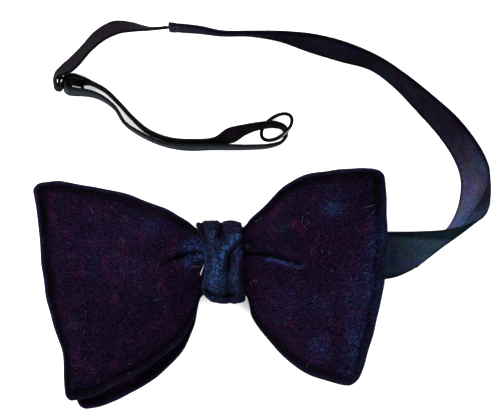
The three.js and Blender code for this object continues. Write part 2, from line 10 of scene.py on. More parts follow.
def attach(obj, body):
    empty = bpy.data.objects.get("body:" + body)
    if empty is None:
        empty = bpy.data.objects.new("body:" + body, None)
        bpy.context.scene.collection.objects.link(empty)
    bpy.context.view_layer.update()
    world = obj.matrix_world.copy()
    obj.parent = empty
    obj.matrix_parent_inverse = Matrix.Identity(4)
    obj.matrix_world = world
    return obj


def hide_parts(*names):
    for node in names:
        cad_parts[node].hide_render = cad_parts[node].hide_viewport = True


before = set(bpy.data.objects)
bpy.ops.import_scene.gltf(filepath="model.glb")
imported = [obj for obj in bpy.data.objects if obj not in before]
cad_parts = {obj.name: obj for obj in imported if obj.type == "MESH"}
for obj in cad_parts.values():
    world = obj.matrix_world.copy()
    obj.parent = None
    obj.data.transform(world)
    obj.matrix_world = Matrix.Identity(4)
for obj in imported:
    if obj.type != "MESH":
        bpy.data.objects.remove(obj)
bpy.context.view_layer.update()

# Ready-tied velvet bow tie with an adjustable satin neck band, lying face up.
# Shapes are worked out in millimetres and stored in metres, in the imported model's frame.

MM = 0.001
# Keeps a value off zero, or off the end of a grid
TINY = 0.001
ROOT = "root"

# Velvet wings. In a pair, the first is where something begins and the second where it is whole
LAYER_GAP = 0.3
RIM_HALF = 2
CORNER_RADIUS = 3.5
LEFT_REACH = 66
RIGHT_REACH = 56
WAIST_HALF_HEIGHT = 20
UNDERLAY_MIDDLE_Y = 1.5
UNDERLAY_HALF_WIDTH = 19
UNDERLAY_SQUARENESS = 4
RIM_ROLL = 1.5
GROOVE_INSET = 2.6
GROOVE_WIDTH = 0.85
GROOVE_DEPTH = 0.85
# Painted shade along the stitched groove: its width, its strength, and how much darker it grows
# towards the top edge
GROOVE_SHADE_WIDTH = 1.7
GROOVE_SHADE = 0.85
GROOVE_SHADE_RISE = 0.1
PANEL_HALF = 1.75
PANEL_CROWN = 0.55
PANEL_EDGE = (2.4, 4.6)
CROWN_RISE = (4, 24)
SWELL_START = (2.4, 9)
CREASE_START = (1.5, 5)
# Painted sheen on the rolled rim: the insets where it fades out, and its level, which noise makes
# patchy
RIM_SHEEN_FADE = (0.9, 2.2)
RIM_SHEEN_LEVEL = 0.7
# Painted shade in the pinched creases and the knot's valleys
PINCH_SHADE = 0.6
WING_STEPS_ALONG = 76
WING_STEPS_ACROSS = 46
RIM_STEPS = 13
RIM_REACH = 6.5
RIM_CROWDING = 1.35

# The cloth trial that fills the padded panels: its grid, the metres that stand for a millimetre,
# how far in from the seam and out from the knot it is free, and the most that it may move
TRIAL_LONG = 120
TRIAL_WIDE = 76
TRIAL_SCALE = 0.02
TRIAL_FRAMES = 20
TRIAL_FREE_INSET = (3, 6)
TRIAL_FREE_FROM_KNOT = (7, 12)
TRIAL_KNOT_X = -1
SWELL_CAP = 1.3
TRIAL_CLOTH = {
    "quality": 6,
    "mass": 0.3,
    "tension_stiffness": 25,
    "compression_stiffness": 25,
    "shear_stiffness": 10,
    "bending_stiffness": 0.4,
    "use_pressure": True,
    "uniform_pressure_force": 4,
    "shrink_min": -0.012,
}


def table(columns, *rows):
    return [dict(zip(columns.split(), row)) for row in rows]


def spot(row, columns="x y z"):
    """The place, or the direction, that these columns of a row give."""
    return Vector([row[column] for column in columns.split()])


# The ends of each cross-line of the front butterfly, from left tip to right tip
FRONT_SECTIONS = table(
    "along topX topY bottomX bottomY bulge",
    (-1, -69.6, 28.7, -57.6, -50.4, 0),
    (-0.86, -59.2, 29.2, -51, -49.6, 0),
    (-0.7, -48.3, 27.4, -41, -45.4, 0),
    (-0.54, -37.4, 25.2, -30.9, -40.1, 0),
    (-0.4, -28, 22.3, -22.5, -34.1, 0),
    (-0.27, -20, 18.9, -15.6, -27.8, 0),
    (-0.16, -13.4, 14.9, -11.1, -19.6, 0),
    (-0.09, -9.6, 12, -8.4, -12, 0),
    (0, -1.5, 10.4, -0.5, -10.4, 0),
    (0.08, 6.4, 12.5, 7, -11.4, 0),
    (0.15, 9.4, 16.2, 9.8, -19.8, 0),
    (0.27, 15.6, 21.8, 14.2, -26.5, 0),
    (0.4, 21.8, 27.8, 20.3, -33.2, 0.4),
    (0.54, 29, 31.6, 26.9, -38.7, 1.2),
    (0.7, 38.5, 33.4, 33.8, -42.1, 2.6),
    (0.86, 48.3, 34.1, 41.4, -44.3, 4),
    (1, 57.2, 34.1, 47.6, -44.7, 5.4),
)

# The butterfly behind it, set a little lower and to the left
BACK_SECTIONS = table(
    "along topX topY bottomX bottomY bulge",
    (-1, -66.5, 24.5, -53.2, -53.8, -1.2),
    (-0.86, -56.5, 25, -45.2, -52.2, -0.8),
    (-0.7, -46, 23.4, -36.8, -48.9, -0.4),
    (-0.54, -35.6, 21.2, -28.7, -44.5, 0),
    (-0.4, -27, 18.6, -22.1, -39.4, 0),
    (-0.27, -19.6, 15.4, -15.4, -32.4, 0),
    (-0.16, -13.4, 12.6, -11, -22.6, 0),
    (-0.09, -9.6, 10.8, -8.6, -11.9, 0),
    (0, -1.5, 10.2, -0.5, -10.2, 0),
    (0.08, 6.2, 11.2, 7.2, -11.2, 0),
    (0.15, 9.8, 14, 9.4, -17.4, 0),
    (0.27, 15.6, 19, 14.2, -24.2, 0),
    (0.4, 21.8, 24.6, 20.3, -30.8, 0.4),
    (0.54, 28.6, 28.2, 26.5, -36.2, 1.2),
    (0.7, 37.4, 30.2, 33, -39.5, 2.4),
    (0.86, 46.4, 31, 40.4, -41.8, 3.6),
    (1, 55.2, 31, 47.6, -42.2, 4.4),
)

# The two layers of velvet, from the surface up; only the upper one is gathered where it shows
BACK_WINGS, FRONT_WINGS = table(
    "piece node sections layers_below gathered",
    ("back_bow_velvet", "back_bow", BACK_SECTIONS, 0, False),
    ("front_bow_velvet", "front_bow", FRONT_SECTIONS, 1, True),
)

# Soft dents and swellings along the left tip of both butterflies, from this far along
TIP_DENT_START = -0.45
TIP_DENTS = table(
    "across width depth",
    (0.1, 0.42, -1.3),
    (-0.6, 0.26, 1.5),
)

# How far the wings are held off the surface and how full they are, from left to right
LAY = table(
    "x lift pad",
    (-72, 0, 1),
    (-46, 0, 1),
    (-36, 2, 1),
    (-24, 3.3, 0.94),
    (-12, 3.4, 0.72),
    (0, 3.4, 0.66),
    (12, 3.4, 0.72),
    (24, 2.3, 0.94),
    (36, 1.9, 1),
    (60, 1.9, 1),
)

# Round the wrap: 0 is its upper end, 90 the front, 180 the lower end, 270 the back
KNOT_SECTIONS = table(
    "turn left leftValley rightValley right fold",
    (-90, -8, -3, 2, 7, 0),
    (-40, -9.4, -5, 0, 6.4, 0.1),
    (0, -10.3, -8.6, -1.1, 6, 0.3),
    (40, -10, -8, -0.6, 6.2, 1),
    (90, -7.4, -6, 1.1, 6.7, 1),
    (118, -8.4, -6.4, 1.3, 7.2, 1),
    (142, -7, -5.2, 1.5, 7.5, 0.9),
    (165, -5, -3.4, 1.7, 7.2, 0.4),
    (180, -3.8, -2.4, 1.8, 6, 0.2),
    (220, -7, -2, 2, 6.6, 0),
    (270, -8, -3, 2, 7, 0),
)

# A ribbon's rows give both its edges
NEAR_EDGE = "nearX nearY nearZ"
FAR_EDGE = "farX farY farZ"

# The satin band from under the left wing to the right
BAND_LEAD_IN = table(
    f"{NEAR_EDGE} {FAR_EDGE}",
    (-22, -8.7, 2.2, -22, 8.7, 2.2),
    (-9, -8.7, 2.5, -9, 8.7, 2.5),
    (8, -8.6, 2.5, 8, 8.8, 2.5),
    (24, -8, 1, 24.4, 9.4, 1),
    (44, -6.8, 0.7, 45, 10.7, 0.7),
    (56.5, -6.4, 0.7, 60, 11, 0.8),
)

# The band rolls under itself along a slanting line
BAND_ROLL = table(
    f"{NEAR_EDGE} {FAR_EDGE}",
    (61.6, -5.6, 1.2, 70, 11.2, 2),
    (66, -3.8, 2.2, 80, 11.9, 4.4),
    (69, -1.8, 2.9, 88.4, 14, 6.2),
    (71.4, 0.6, 2.3, 94, 17.2, 5.4),
    (73.4, 4, 1, 95.9, 20.6, 4.2),
    (76.4, 8.2, 0.7, 96.2, 23.4, 4.6),
)

# From the roll round the neck, standing on its inner edge
BAND_LOOP = table(
    f"{NEAR_EDGE} {FAR_EDGE}",
    (80.7, 12, 0.7, 96.2, 26.2, 6.6),
    (84.6, 20, 0.7, 95.8, 29.8, 10.6),
    (85.6, 29.8, 0.7, 94.9, 34.6, 14.2),
    (83.2, 37.2, 0.7, 92, 40.9, 15.2),
    (77.7, 45.7, 0.7, 84.3, 51.2, 15.8),
    (69.7, 54.8, 0.7, 74.6, 59.9, 16.5),
    (61, 63.9, 0.7, 64.8, 67.6, 17.1),
    (52.9, 69.8, 0.7, 55.4, 73.8, 17.3),
    (41.9, 72.9, 0.6, 43.5, 79, 16.8),
    (31, 76.2, 0.6, 32.3, 81.8, 17),
    (20.1, 80.2, 0.5, 20.5, 82.8, 17.6),
    (9.1, 82.2, 0.5, 9.1, 82.8, 17.9),
    (-1, 82.3, 0.5, -1, 82.9, 17.9),
    (-9.2, 83.2, 0.5, -9.2, 84.6, 17.9),
    (-20.2, 83.9, 0.5, -20.2, 85.8, 17.9),
)

# The tape from the band's end to the slider: middle, heading and lean of its raised edge
TAPE_FEED = table(
    "x y z heading lean",
    (-20.25, 84.8, 9, 266, 86),
    (-27, 84.3, 8.8, 272, 82),
    (-34, 85, 8, 276, 56),
    (-39.5, 84.8, 7, 292, 36),
    (-45.4, 81.8, 6, 310, 40),
    (-50.2, 77.2, 5.4, 318, 52),
    (-54.2, 72.8, 5.2, 320, 46),
    (-57.3, 70.1, 5.2, 324, 46),
    (-60, 68.2, 5.1, 338, 62),
    (-61.4, 66.2, 5, 370, 80),
)

# Through the slider: distance along it and off its middle plane
TAPE_THREADING = table(
    "along off",
    (-5.6, 1),
    (-4.9, 2.2),
    (-3.5, 2.3),
    (-2.8, 0.8),
    (-2.4, -1.5),
    (0, -2.7),
    (2.7, -2.5),
    (4.8, -2.1),
)

# The loop through the ring, out and back
TAPE_LOOP = table(
    "x y z heading lean",
    (-48.6, 64.9, 3.6, 72, 80),
    (-43.4, 62.2, 3.5, 58, 83),
    (-38.4, 57.5, 3.6, 46, 84),
    (-33.7, 52.4, 3.6, 46, 84),
    (-28, 47.4, 3.6, 60, 80),
    (-20, 44.3, 3.6, 76, 80),
    (-11, 43.6, 3.6, 90, 78),
    (-3.6, 44, 3.6, 102, 72),
    (2, 45.9, 3.8, 112, 30),
    (7.3, 48, 5, 108, 58),
    (13, 49.4, 6.3, 94, 70),
    (18, 49.8, 4.9, 76, 72),
    (21.4, 48.6, 4, 40, 76),
    (22.1, 46.3, 3.7, -8, 84),
    (20.7, 43.7, 3.7, -52, 90),
    (16.6, 42.2, 3.7, -76, 96),
    (8, 41.6, 3.6, -90, 100),
    (-3.6, 41.75, 3.6, -90, 104),
    (-14.5, 41.65, 3.6, -92, 106),
    (-23, 43, 3.6, -104, 98),
    (-30.9, 46.6, 3.6, -124, 98),
    (-36.3, 50.4, 3.6, -136, 94),
    (-39.9, 55.9, 3.8, -130, 95),
    (-45.6, 60, 4.4, -112, 102),
)

# Round the slider's middle bar, where the tape is sewn to itself
TAPE_SEWN_END = table(
    "along off",
    (5, 2.2),
    (2, 2.8),
    (-0.3, 2.9),
    (-1.7, 1.7),
    (-1.5, 0.2),
    (-0.9, -0.75),
    (0, -1.2),
    (1.4, -1.15),
    (3, -1.15),
    (4.2, -1.15),
)

# Broad swellings that run out from the knot over the front wings, full over the first share
SWELL_FULL_SHARE = 0.45
SWELL_END = 2
SWELLS = table(
    "fromX fromY toX toY width height",
    (-12, 7, -40, 12, 7, 1.3),
    (-12, -6, -38, -18, 8, 1.4),
    (10, 8, 38, 16, 8, 1.4),
    (10, -6, 36, -16, 8, 1.3),
)

# Pinched creases at the knot: a sharp line, a lip of velvet that stands up on one side of it,
# and the share of its run over which it stays sharp
CREASES = table(
    "fromX fromY bendX bendY toX toY width depth lip side held",
    (-10.8, 3.9, -14.5, 3.0, -24, -1.4, 0.8, 2.0, 1.1, -1, 0.6),
    (-5, -0.6, -9, -0.2, -12.5, -1.2, 0.6, 1.1, 0.6, 1, 0.6),
    (-5, 2.2, -8.5, 3.4, -11.5, 3.2, 0.7, 0.8, 0.7, 1, 0.6),
    (-6, 5.4, -13, 6.4, -20, 7.2, 1.1, 0.7, 0.5, 1, 0.3),
    (-6, -6, -11, -8.5, -17, -13, 1.3, 0.7, 0.5, -1, 0.3),
    (5, 3.1, 16.3, 2.5, 32, -2.4, 0.7, 2.0, 1.5, -1, 0.8),
    (6, 6.6, 12, 8.6, 19, 12, 1.2, 0.7, 0.5, 1, 0.3),
    (6, -2.2, 12, -3.4, 19, -5.5, 1.0, 0.7, 0.5, 1, 0.3),
    (6, -7, 11, -10.5, 17, -15, 1.3, 0.7, 0.5, -1, 0.3),
)

# How a crease widens along its run, how soon it ends, and where its lip stands, in its widths
CREASE_WIDENING = (0.75, 1.5)
CREASE_REACH = 8
CREASE_END = 1.2
LIP_OFFSET = 1.9
LIP_WIDTH = 1.2

# Places where the pile is rubbed to a paler blue, with painted highlights among them, and how many
# squared radii off it has faded
WEAR_FADED = 6
WEAR_AND_HIGHLIGHTS = table(
    "x y radiusX radiusY amount",
    (-10.6, 5.6, 4.4, 2.2, 0.8),
    (-13.2, 0.2, 1.6, 2.5, 0.65),
    (-8.8, 1.7, 2.8, 1.6, 0.8),
    (-27, 12, 7, 3.5, 0.1),
    (-48, 8, 9, 14, 0.03),
    (-33, -2, 5, 3, 0.1),
    # The next four rows: painted highlight on the lit lip of the right wing's crease
    (17.6, 0.9, 1.8, 0.7, 1),
    (20.6, 0.3, 1.9, 0.7, 1),
    (23.6, -0.35, 1.9, 0.75, 1),
    (26.8, -1.1, 1.9, 0.75, 0.9),
    # The next four rows: painted highlight along the right wing's lit right edge
    (55, 8, 3.2, 9, 0.45),
    (53, -10, 3.6, 13, 0.42),
    (47.5, -28, 4, 14, 0.3),
    (44, -41, 4, 4, 0.26),
    (38.5, 19.5, 4, 3.2, 0.28),
    (34, -31, 4, 6, 0.18),
    (35, -16, 3.5, 4, 0.16),
    (24, -15, 8, 6, 0.08),
    (48, -12, 6, 10, 0.12),
)

# The same on the knot
KNOT_WEAR_AND_HIGHLIGHTS = table(
    "x y radiusX radiusY amount",
    (-3.6, -3.5, 3.4, 6.5, 0.8),
    (-6.4, 3.5, 3, 2.6, 0.45),
    (-4.4, 9, 0.8, 3.4, 0.7),
    # The next four rows: painted highlight along the knot's lit diagonal ridge
    (3.9, 9.2, 1.5, 1.9, 1),
    (2.2, 7.2, 1.5, 1.9, 1),
    (0.4, 4.9, 1.5, 1.9, 1),
    (-1.4, 2.4, 1.5, 1.9, 0.9),
    (4.8, 3.4, 1.2, 3.2, 0.6),
    (3.4, -5, 1.6, 4.5, 0.35),
    (-4, -13, 4, 1.2, 0.4),
)

# Lengthwise folds of the knot, from the top of the wrap to its lower edge
KNOT_CREASES = table(
    "fromX fromY bendX bendY toX toY width depth lip side held",
    (-1.4, 14.5, -1.8, 10.5, -2.4, 6, 0.75, 1.7, 0.5, -1, 0.5),
    (6.4, 7.9, 1.9, 3.4, 0.5, -5, 0.75, 1.6, 1.5, -1, 0.8),
    (6.4, 6, 3.6, 1.6, 2.6, -5, 0.7, 1.1, 0.6, -1, 0.5),
    (-8.6, 14.4, -7.4, 8, -6.6, 1, 0.9, 1.2, 0.5, 1, 0.4),
    (-6.4, -10.4, -2.4, -12.2, 4.6, -11.6, 0.85, 1.7, 0.7, -1, 0.9),
    (5.6, -1, 6.4, -6.4, 6.9, -12, 0.6, 1.1, 0.5, -1, 0.6),
    (-5.4, 4.6, -4.4, -1.4, -4.6, -9, 1.0, 0.9, 0.6, 1, 0.6),
    (-1.6, 2.6, -1.4, -3, -0.8, -9, 0.8, 0.7, 0.5, 1, 0.6),
)

# Knot
KNOT_HALF_LENGTH = 13.8
KNOT_HALF_DEPTH = 4.9
KNOT_MIDDLE_Z = 5.7
KNOT_WALL_HALF = 0.8
KNOT_WALL_ROUNDING = 0.4
KNOT_SQUARENESS = 4
KNOT_FOLD_HEIGHT = 1.7
KNOT_FULL_FOLD = 6
KNOT_FOLD_ROUNDING = 0.55
# Painted shade in the knot's valleys: its strength, and how low in a fold it begins
VALLEY_SHADE = 0.75
VALLEY_START = 0.55
KNOT_EDGE_WAVER = 0.5
KNOT_EDGE_WAVERS = 4
KNOT_STEPS_AROUND = 220
KNOT_STEPS_ACROSS = 120
# The knot's velvet is crushed into ridges of this width, length and height, with finer lumps
RIDGE_WIDTH = 2.4
RIDGE_LENGTH = 4.2
RIDGE_HEIGHT = 0.42
RIDGE_SINK = 0.24
LUMP_WIDTH = 1.1
LUMP_LENGTH = 1.6
LUMP_HEIGHT = 0.2

# Satin band
BAND_HALF_THICKNESS = 0.55
BAND_WIDTH = 17.5
BAND_STEPS_PER_SECTION = 14
BAND_STEPS_ACROSS = 28
HEM_LENGTH = 2.6
HEM_SWELL = 0.15
HEM_RISE = 0.5
HEM_STITCH_OFF = 0.4
# The line that the turned-in edge presses into the satin, and the soft slack between the edges
EDGE_LINE_INSET = 1.6
EDGE_LINE_WIDTH = 0.35
EDGE_LINE_DEPTH = 0.16
SLACK_LENGTH = 16
SLACK_WIDTH = 9
SLACK_HEIGHT = 0.16
SLACK_RISE = 3
# Rows of a ribbon count as at least this far apart
LEAST_SPAN = 0.02
# How close the steps across a ribbon crowd to its edges
EDGE_CROWDING = 0.75
# A cut or hemmed end is nearly as thick as the rest of the ribbon
END_SHARE = 0.75
END_ROUNDING = 0.4
# How far along the band the slanting fold ends
FOLD_END = 106

# Slider, with its middle, its heading and its lean from flat in degrees; the edges that are
# sharper than an angle in radians are rounded
SLIDER_LENGTH = 9.6
SLIDER_WIDTH = 9.2
SLIDER_BAR = 1
SLIDER_CORNER = 1.8
SLIDER_ROUNDING = 0.3
SHARP_ANGLE = 0.7
SLIDER_X = -55.7
SLIDER_Y = 64.5
SLIDER_Z = 4.9
SLIDER_HEADING = -12
SLIDER_LEAN = 70

# Tape
TAPE_WIDTH = 6.5
TAPE_HALF_THICKNESS = 0.5
TAPE_STEPS_PER_SECTION = 8
TAPE_STEPS_ACROSS = 16
# The thick cord along each selvedge, and the cross ribs
CORD_INSET = 0.6
CORD_WIDTH = 0.4
CORD_HEIGHT = 0.06
RIB_PITCH = 1.6
RIB_HEIGHT = 0.02

# Stitching
EDGE_STITCH_PITCH = 1.3
EDGE_STITCH_LENGTH = 0.9
STITCH_RADIUS = 0.13
STITCH_SINK = 0.02
STITCH_FLATNESS = 0.8
STITCH_SHARE = 0.6
SEAM_SAMPLES = 500
UNDER_KNOT = 9
HEM_STITCHES = 12
HEM_STITCHED = (0.05, 0.95)
TAPE_STITCHES = 5
TAPE_STITCH_ROWS = (2.6, 4.2)
TAPE_STITCH_REACH = 2.5

# Threads that stick out where the tape turns round the slider; the headings are in radians
FRAYED_THREADS = table(
    "x y z outX outY outZ heading length bend radius",
    (-61.2, 68.2, 7.4, 0.3, 0.2, 0.93, 2.3, 1.7, 0.5, 0.1),
    (-61, 67.6, 6.2, 0.3, 0.2, 0.93, 2.6, 1.1, 0.4, 0.08),
    (-57.2, 62.1, 2, 0, -0.5, 0.87, -1.9, 0.9, 0.4, 0.08),
)

# The lining's bare edge where the knot presses the left wing, and the way that it runs
LINING_PEEPS = table(
    "x y length radius",
    (-8.5, -3.7, 3.0, 0.36),
    (-7.9, -2, 2.6, 0.2),
)
LINING_RUN = (0.3, 1, 0)

# Lint that clings to the pile. It is dropped from above and stays where the cloth is level
# enough; pairs are the ranges that its scatter is drawn from
LINT_SEED = 41
DROP_HEIGHT = 60
LEVEL_ENOUGH = 0.5
SPECKS = 260
SPECK_X = (-66, 58)
SPECK_Y = (-48, 32)
SPECK_RADIUS = (0.07, 0.15)
SPECK_BREADTH = (0.5, 1)
SPECK_FLATNESS = 0.45
CLUSTERED_RADIUS = (0.1, 0.2)
SPREADS_PER_RADIUS = 1.5
FIBRES = 46
FIBRE_X = (-64, 56)
FIBRE_Y = (-46, 30)
FIBRE_HEADING = (-3.14, 3.14)
FIBRE_LENGTH = (0.9, 2.4)
FIBRE_BEND = (0.3, 1.6)
FIBRE_RADIUS = 0.05
HAIR_RADIUS = 0.07
LINT_CLUSTERS = table(
    "x y radiusX radiusY specks",
    (-10.6, -1.4, 1.3, 0.45, 16),
    (8.4, 6, 1.1, 0.9, 14),
    (10.9, -6.5, 0.9, 0.6, 9),
    (28.7, -7.3, 0.7, 0.5, 5),
    (-37, 7.6, 1.4, 0.9, 14),
    (-21, -16, 1.6, 1, 8),
    (30, 14, 1.6, 1.2, 8),
    (38, -22, 1.2, 1.6, 8),
)
# The longest hairs, with headings in degrees
LONG_HAIRS = table(
    "x y heading length bend",
    (54.2, 21, 31, 4.4, 0.5),
    (13.6, 16.2, 38, 3.2, 0.3),
    (-47.5, 17.5, -58, 2.8, 0.6),
    (-8.3, -0.6, -98, 2.2, 0.4),
    (33, -12, 80, 3, 0.9),
)

# Ring
RING_RADIUS = 6.4
RING_WIRE_RADIUS = 0.65
RING_STEPS = 96
RING_WIRE_STEPS = 20
RING_X = 18.7
RING_Y = 48.9
RING_HEADING = 38
RING_TILT = 55
# Where the ring has a painted glint, made as a patch of bright bare steel rubbed free of lacquer:
# its place, the side of the wire that it lies on, and how far off and how turned away it begins and
# is whole
GLINT_SPOT_X = 22.9
GLINT_SPOT_Y = 47.2
GLINT_SIDE = (0.55, -0.45, 0.7)
GLINT_REACH = (5, 2)
GLINT_FACING = (0.86, 0.97)

# Noise in the finishes: size of its features in millimetres, detail, and the stretch of values
GRAINS = table(
    "name size detail low high",
    ("plum_clouds", 15, 4, 0.42, 0.62),
    ("magenta_flecks", 5, 9, 0.55, 0.85),
    ("teal_flecks", 5, 9, 0.57, 0.87),
    ("pile", 0.55, 3, 0.4, 0.6),
    ("tufts", 1.5, 3, 0.43, 0.57),
    ("glints", 0.7, 1, 0.64, 0.8),
    ("satin_patches", 17, 2, 0.4, 0.66),
    ("satin_floats", 0.35, 2, 0.3, 0.7),
    ("satin_broken_light", 0.5, 2, 0.36, 0.64),
    ("satin_glitter", 0.45, 1, 0.32, 0.68),
    ("tape_patches", 9, 2, 0.4, 0.62),
    ("tape_fibres", 0.6, 3, 0.35, 0.65),
    ("lacquer_wear", 1.2, 3, 0.35, 0.65),
    ("thread_shade", 2, 2, 0.35, 0.65),
)

# Colours of the velvet, among them the colour of its rubbed pile, painted highlights and painted
# glints, and the painted sheen of its rim, how far it is worn all over, and how strongly its pile
# shows
VELVETS = table(
    "name deep plum teal rubbed lifted worn_share nap",
    ("cut_pile_silk_velvet", "#080310", "#0d0312", "#061119", "#202f5c", "#0f1428", 0, 0.85),
    ("rubbed_silk_velvet", "#070711", "#0d0817", "#08151d", "#1a2d50", "#1a203b", 0.03, 0.9),
)
UNEVEN_DYE = 0.9
TUFT_HOLLOW = 0.3
RIM_SHEEN_STRENGTH = 0.42
GLINT_SHARE = 0.3
PAINTED_SHADE_DARKEST = 0.03
# How far past the fold the painted sheen on the satin's back fades, and where the painted paler
# sheen near the band's end begins and is whole
FOLD_SHEEN_FADE = 42
BAND_END_SHEEN = (-2, -17)
# The tape's ribs as they are drawn; a wave texture of scale 1 has this many bands a metre
DRAWN_RIB_PITCH = 0.8
BANDS_PER_SCALE = 3.18

# The light falls on this place from these square windows
LIT_PLACE = Vector((0, 0.02, 0))
LIGHTS = table(
    "name x y z size watts",
    ("window", -0.75, 0.6, 0.75, 1.0, 29),
    ("reflector", 0.7, -0.2, 1.1, 0.9, 12),
    ("side_window", -1.2, 0.3, 0.42, 0.6, 17),
)
ROOM_LIGHT = 0.64
# The camera stands straight above, and its lens is in millimetres
CAMERA_PLACE = (0.00908, 0.01888, 1.4)
CAMERA_LENS = 277.6
CAMERA_SENSOR = 36
CAMERA_SEES = 20


def mix(a, b, share):
    return a + (b - a) * share


def clamp(value, low=0.0, high=1.0):
    return max(low, min(high, value))


def smoothstep(value, low, high):
    share = clamp((value - low) / (high - low))
    return share * share * (3 - 2 * share)


def bell(value, width):
    return math.exp(-((value / width) ** 2))


def rounded_edge(distance, radius, least=0.03):
    """The height of a rounded edge that far in from it; the least keeps it from a sharp end."""
    share = clamp(distance / radius)
    return math.sqrt(max(least, 1 - (1 - share) ** 2))


def ripple(x, y, layer, size, height):
    """Gentle unevenness with features of that size; each use reads another layer of noise."""
    return height * noise.noise(Vector((x, y, layer)) / size)


def lengths_along(places):
    travel = [0.0]
    for before, after in zip(places, places[1:]):
        travel.append(travel[-1] + (after - before).length)
    return travel


def read_table(rows, key, value):
    """Smooth values between the rows of a table, by its key column."""
    last = len(rows) - 1
    i = 0
    while i < last - 1 and value > rows[i + 1][key]:
        i += 1
    before, start = rows[max(i - 1, 0)], rows[i]
    end, after = rows[i + 1], rows[min(i + 2, last)]
    span = end[key] - start[key]
    t = clamp((value - start[key]) / span)
    result = {}
    for column in start:
        slope_start = (end[column] - before[column]) / (end[key] - before[key]) * span
        slope_end = (after[column] - start[column]) / (after[key] - start[key]) * span
        rise = end[column] - start[column]
        bend = t * (1 - t) * ((slope_start - rise) * (1 - t) - (slope_end - rise) * t)
        result[column] = start[column] + rise * t + bend
    return result


def step_of(value, steps):
    """Which step of a grid from -1 to 1 a value is on."""
    return round((value + 1) / 2 * steps)


def thickened(bm, thickness):
    """Gives a flat sheet of faces that thickness upwards, with walls."""
    made = bmesh.ops.extrude_face_region(bm, geom=bm.faces[:], use_keep_orig=True)["geom"]
    top = [v for v in made if isinstance(v, bmesh.types.BMVert)]
    bmesh.ops.translate(bm, verts=top, vec=(0, 0, thickness))
    bmesh.ops.recalc_face_normals(bm, faces=bm.faces)


def slab(steps_long, steps_wide):
    """A closed slab: x and y run from -1 to 1, and z is -1 underneath and 1 on top."""
    bm = bmesh.new()
    bmesh.ops.create_grid(bm, x_segments=steps_long, y_segments=steps_wide, size=1)
    bmesh.ops.translate(bm, verts=bm.verts, vec=(0, 0, -1))
    thickened(bm, 2)
    return bm


def hoop(wire_steps, wire_radius, steps, radius):
    """A closed hoop round the z axis: a circle spun once about it."""
    bm = bmesh.new()
    bmesh.ops.create_circle(bm, segments=wire_steps, radius=wire_radius)
    bmesh.ops.rotate(bm, verts=bm.verts, matrix=Matrix.Rotation(math.pi / 2, 3, "X"))
    bmesh.ops.translate(bm, verts=bm.verts, vec=(radius, 0, 0))
    geom = bm.verts[:] + bm.edges[:]
    turn = 2 * math.pi
    bmesh.ops.spin(bm, geom=geom, axis=(0, 0, 1), angle=turn, steps=steps, use_merge=True)
    bmesh.ops.recalc_face_normals(bm, faces=bm.faces)
    return bm


def value_layers(bm, *names):
    return [bm.verts.layers.float.new(name) for name in names]


def meshed(name, bm):
    mesh = bpy.data.meshes.new(name)
    bm.to_mesh(mesh)
    bm.free()
    return mesh


def placed(name, data):
    """Puts a mesh, a light or a camera into the scene."""
    obj = bpy.data.objects.new(name, data)
    bpy.context.scene.collection.objects.link(obj)
    return obj


def finished(name, bm, material, nodes=()):
    """Turns the mesh into a piece that rides on the part, in place of its CAD nodes."""
    bmesh.ops.scale(bm, verts=bm.verts, vec=(MM, MM, MM))
    mesh = meshed(name, bm)
    mesh.shade_smooth()
    mesh.materials.append(material)
    obj = placed(name, mesh)
    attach(obj, ROOT)
    if nodes:
        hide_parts(*nodes)
    return obj


def wear_and_highlight_at(patches, x, y):
    """The share of rubbed pile and painted highlight at a place, from 0 to 1."""
    worn_and_lit = 0.0
    for patch in patches:
        across = ((x - patch["x"]) / patch["radiusX"]) ** 2
        up = ((y - patch["y"]) / patch["radiusY"]) ** 2
        if across + up < WEAR_FADED:
            worn_and_lit = max(worn_and_lit, patch["amount"] * math.exp(-across - up))
    return worn_and_lit


def swell_relief(x, y):
    """How high the broad swellings stand."""
    relief = 0.0
    for fold in SWELLS:
        run_x, run_y = fold["toX"] - fold["fromX"], fold["toY"] - fold["fromY"]
        length = math.hypot(run_x, run_y)
        along = ((x - fold["fromX"]) * run_x + (y - fold["fromY"]) * run_y) / length
        off = ((y - fold["fromY"]) * run_x - (x - fold["fromX"]) * run_y) / length
        past = max(-along, along - length, 0)
        fade = 1 - smoothstep(along, SWELL_FULL_SHARE * length, length)
        relief += fold["height"] * fade * bell(off, fold["width"]) * bell(past, SWELL_END)
    return relief


def crease_relief(creases, x, y):
    """A sharp line in the cloth with a lip beside it, along a bent path."""
    relief = 0.0
    for crease in creases:
        corners = [(crease[end + "X"], crease[end + "Y"]) for end in ("from", "bend", "to")]
        nearest = None
        for part in (0, 1):
            (x1, y1), (x2, y2) = corners[part], corners[part + 1]
            run_x, run_y = x2 - x1, y2 - y1
            length = math.hypot(run_x, run_y)
            share = ((x - x1) * run_x + (y - y1) * run_y) / length**2
            held = clamp(share)
            off = ((y - y1) * run_x - (x - x1) * run_y) / length
            away = math.hypot(x - x1 - held * run_x, y - y1 - held * run_y)
            if nearest is None or away < nearest[0]:
                nearest = (away, off, (part + held) / 2, abs(share - held) * length)
        away, off, travel, past = nearest
        if away > CREASE_REACH * crease["width"]:
            continue
        width = crease["width"] * mix(*CREASE_WIDENING, travel)
        strength = (1 - smoothstep(travel, crease["held"], 1)) * bell(past, CREASE_END)
        valley = -crease["depth"] * bell(off, width)
        lip_off = off * crease["side"] - LIP_OFFSET * width
        relief += strength * (valley + crease["lip"] * bell(lip_off, LIP_WIDTH * width))
    return relief


def inset_of(step, steps, reach, scale):
    """Distance in from an edge: close steps over the rim, then even ones over the panel."""
    if step <= RIM_STEPS:
        return RIM_REACH * scale * (step / RIM_STEPS) ** RIM_CROWDING
    return mix(RIM_REACH * scale, reach, (step - RIM_STEPS) / (steps - RIM_STEPS))


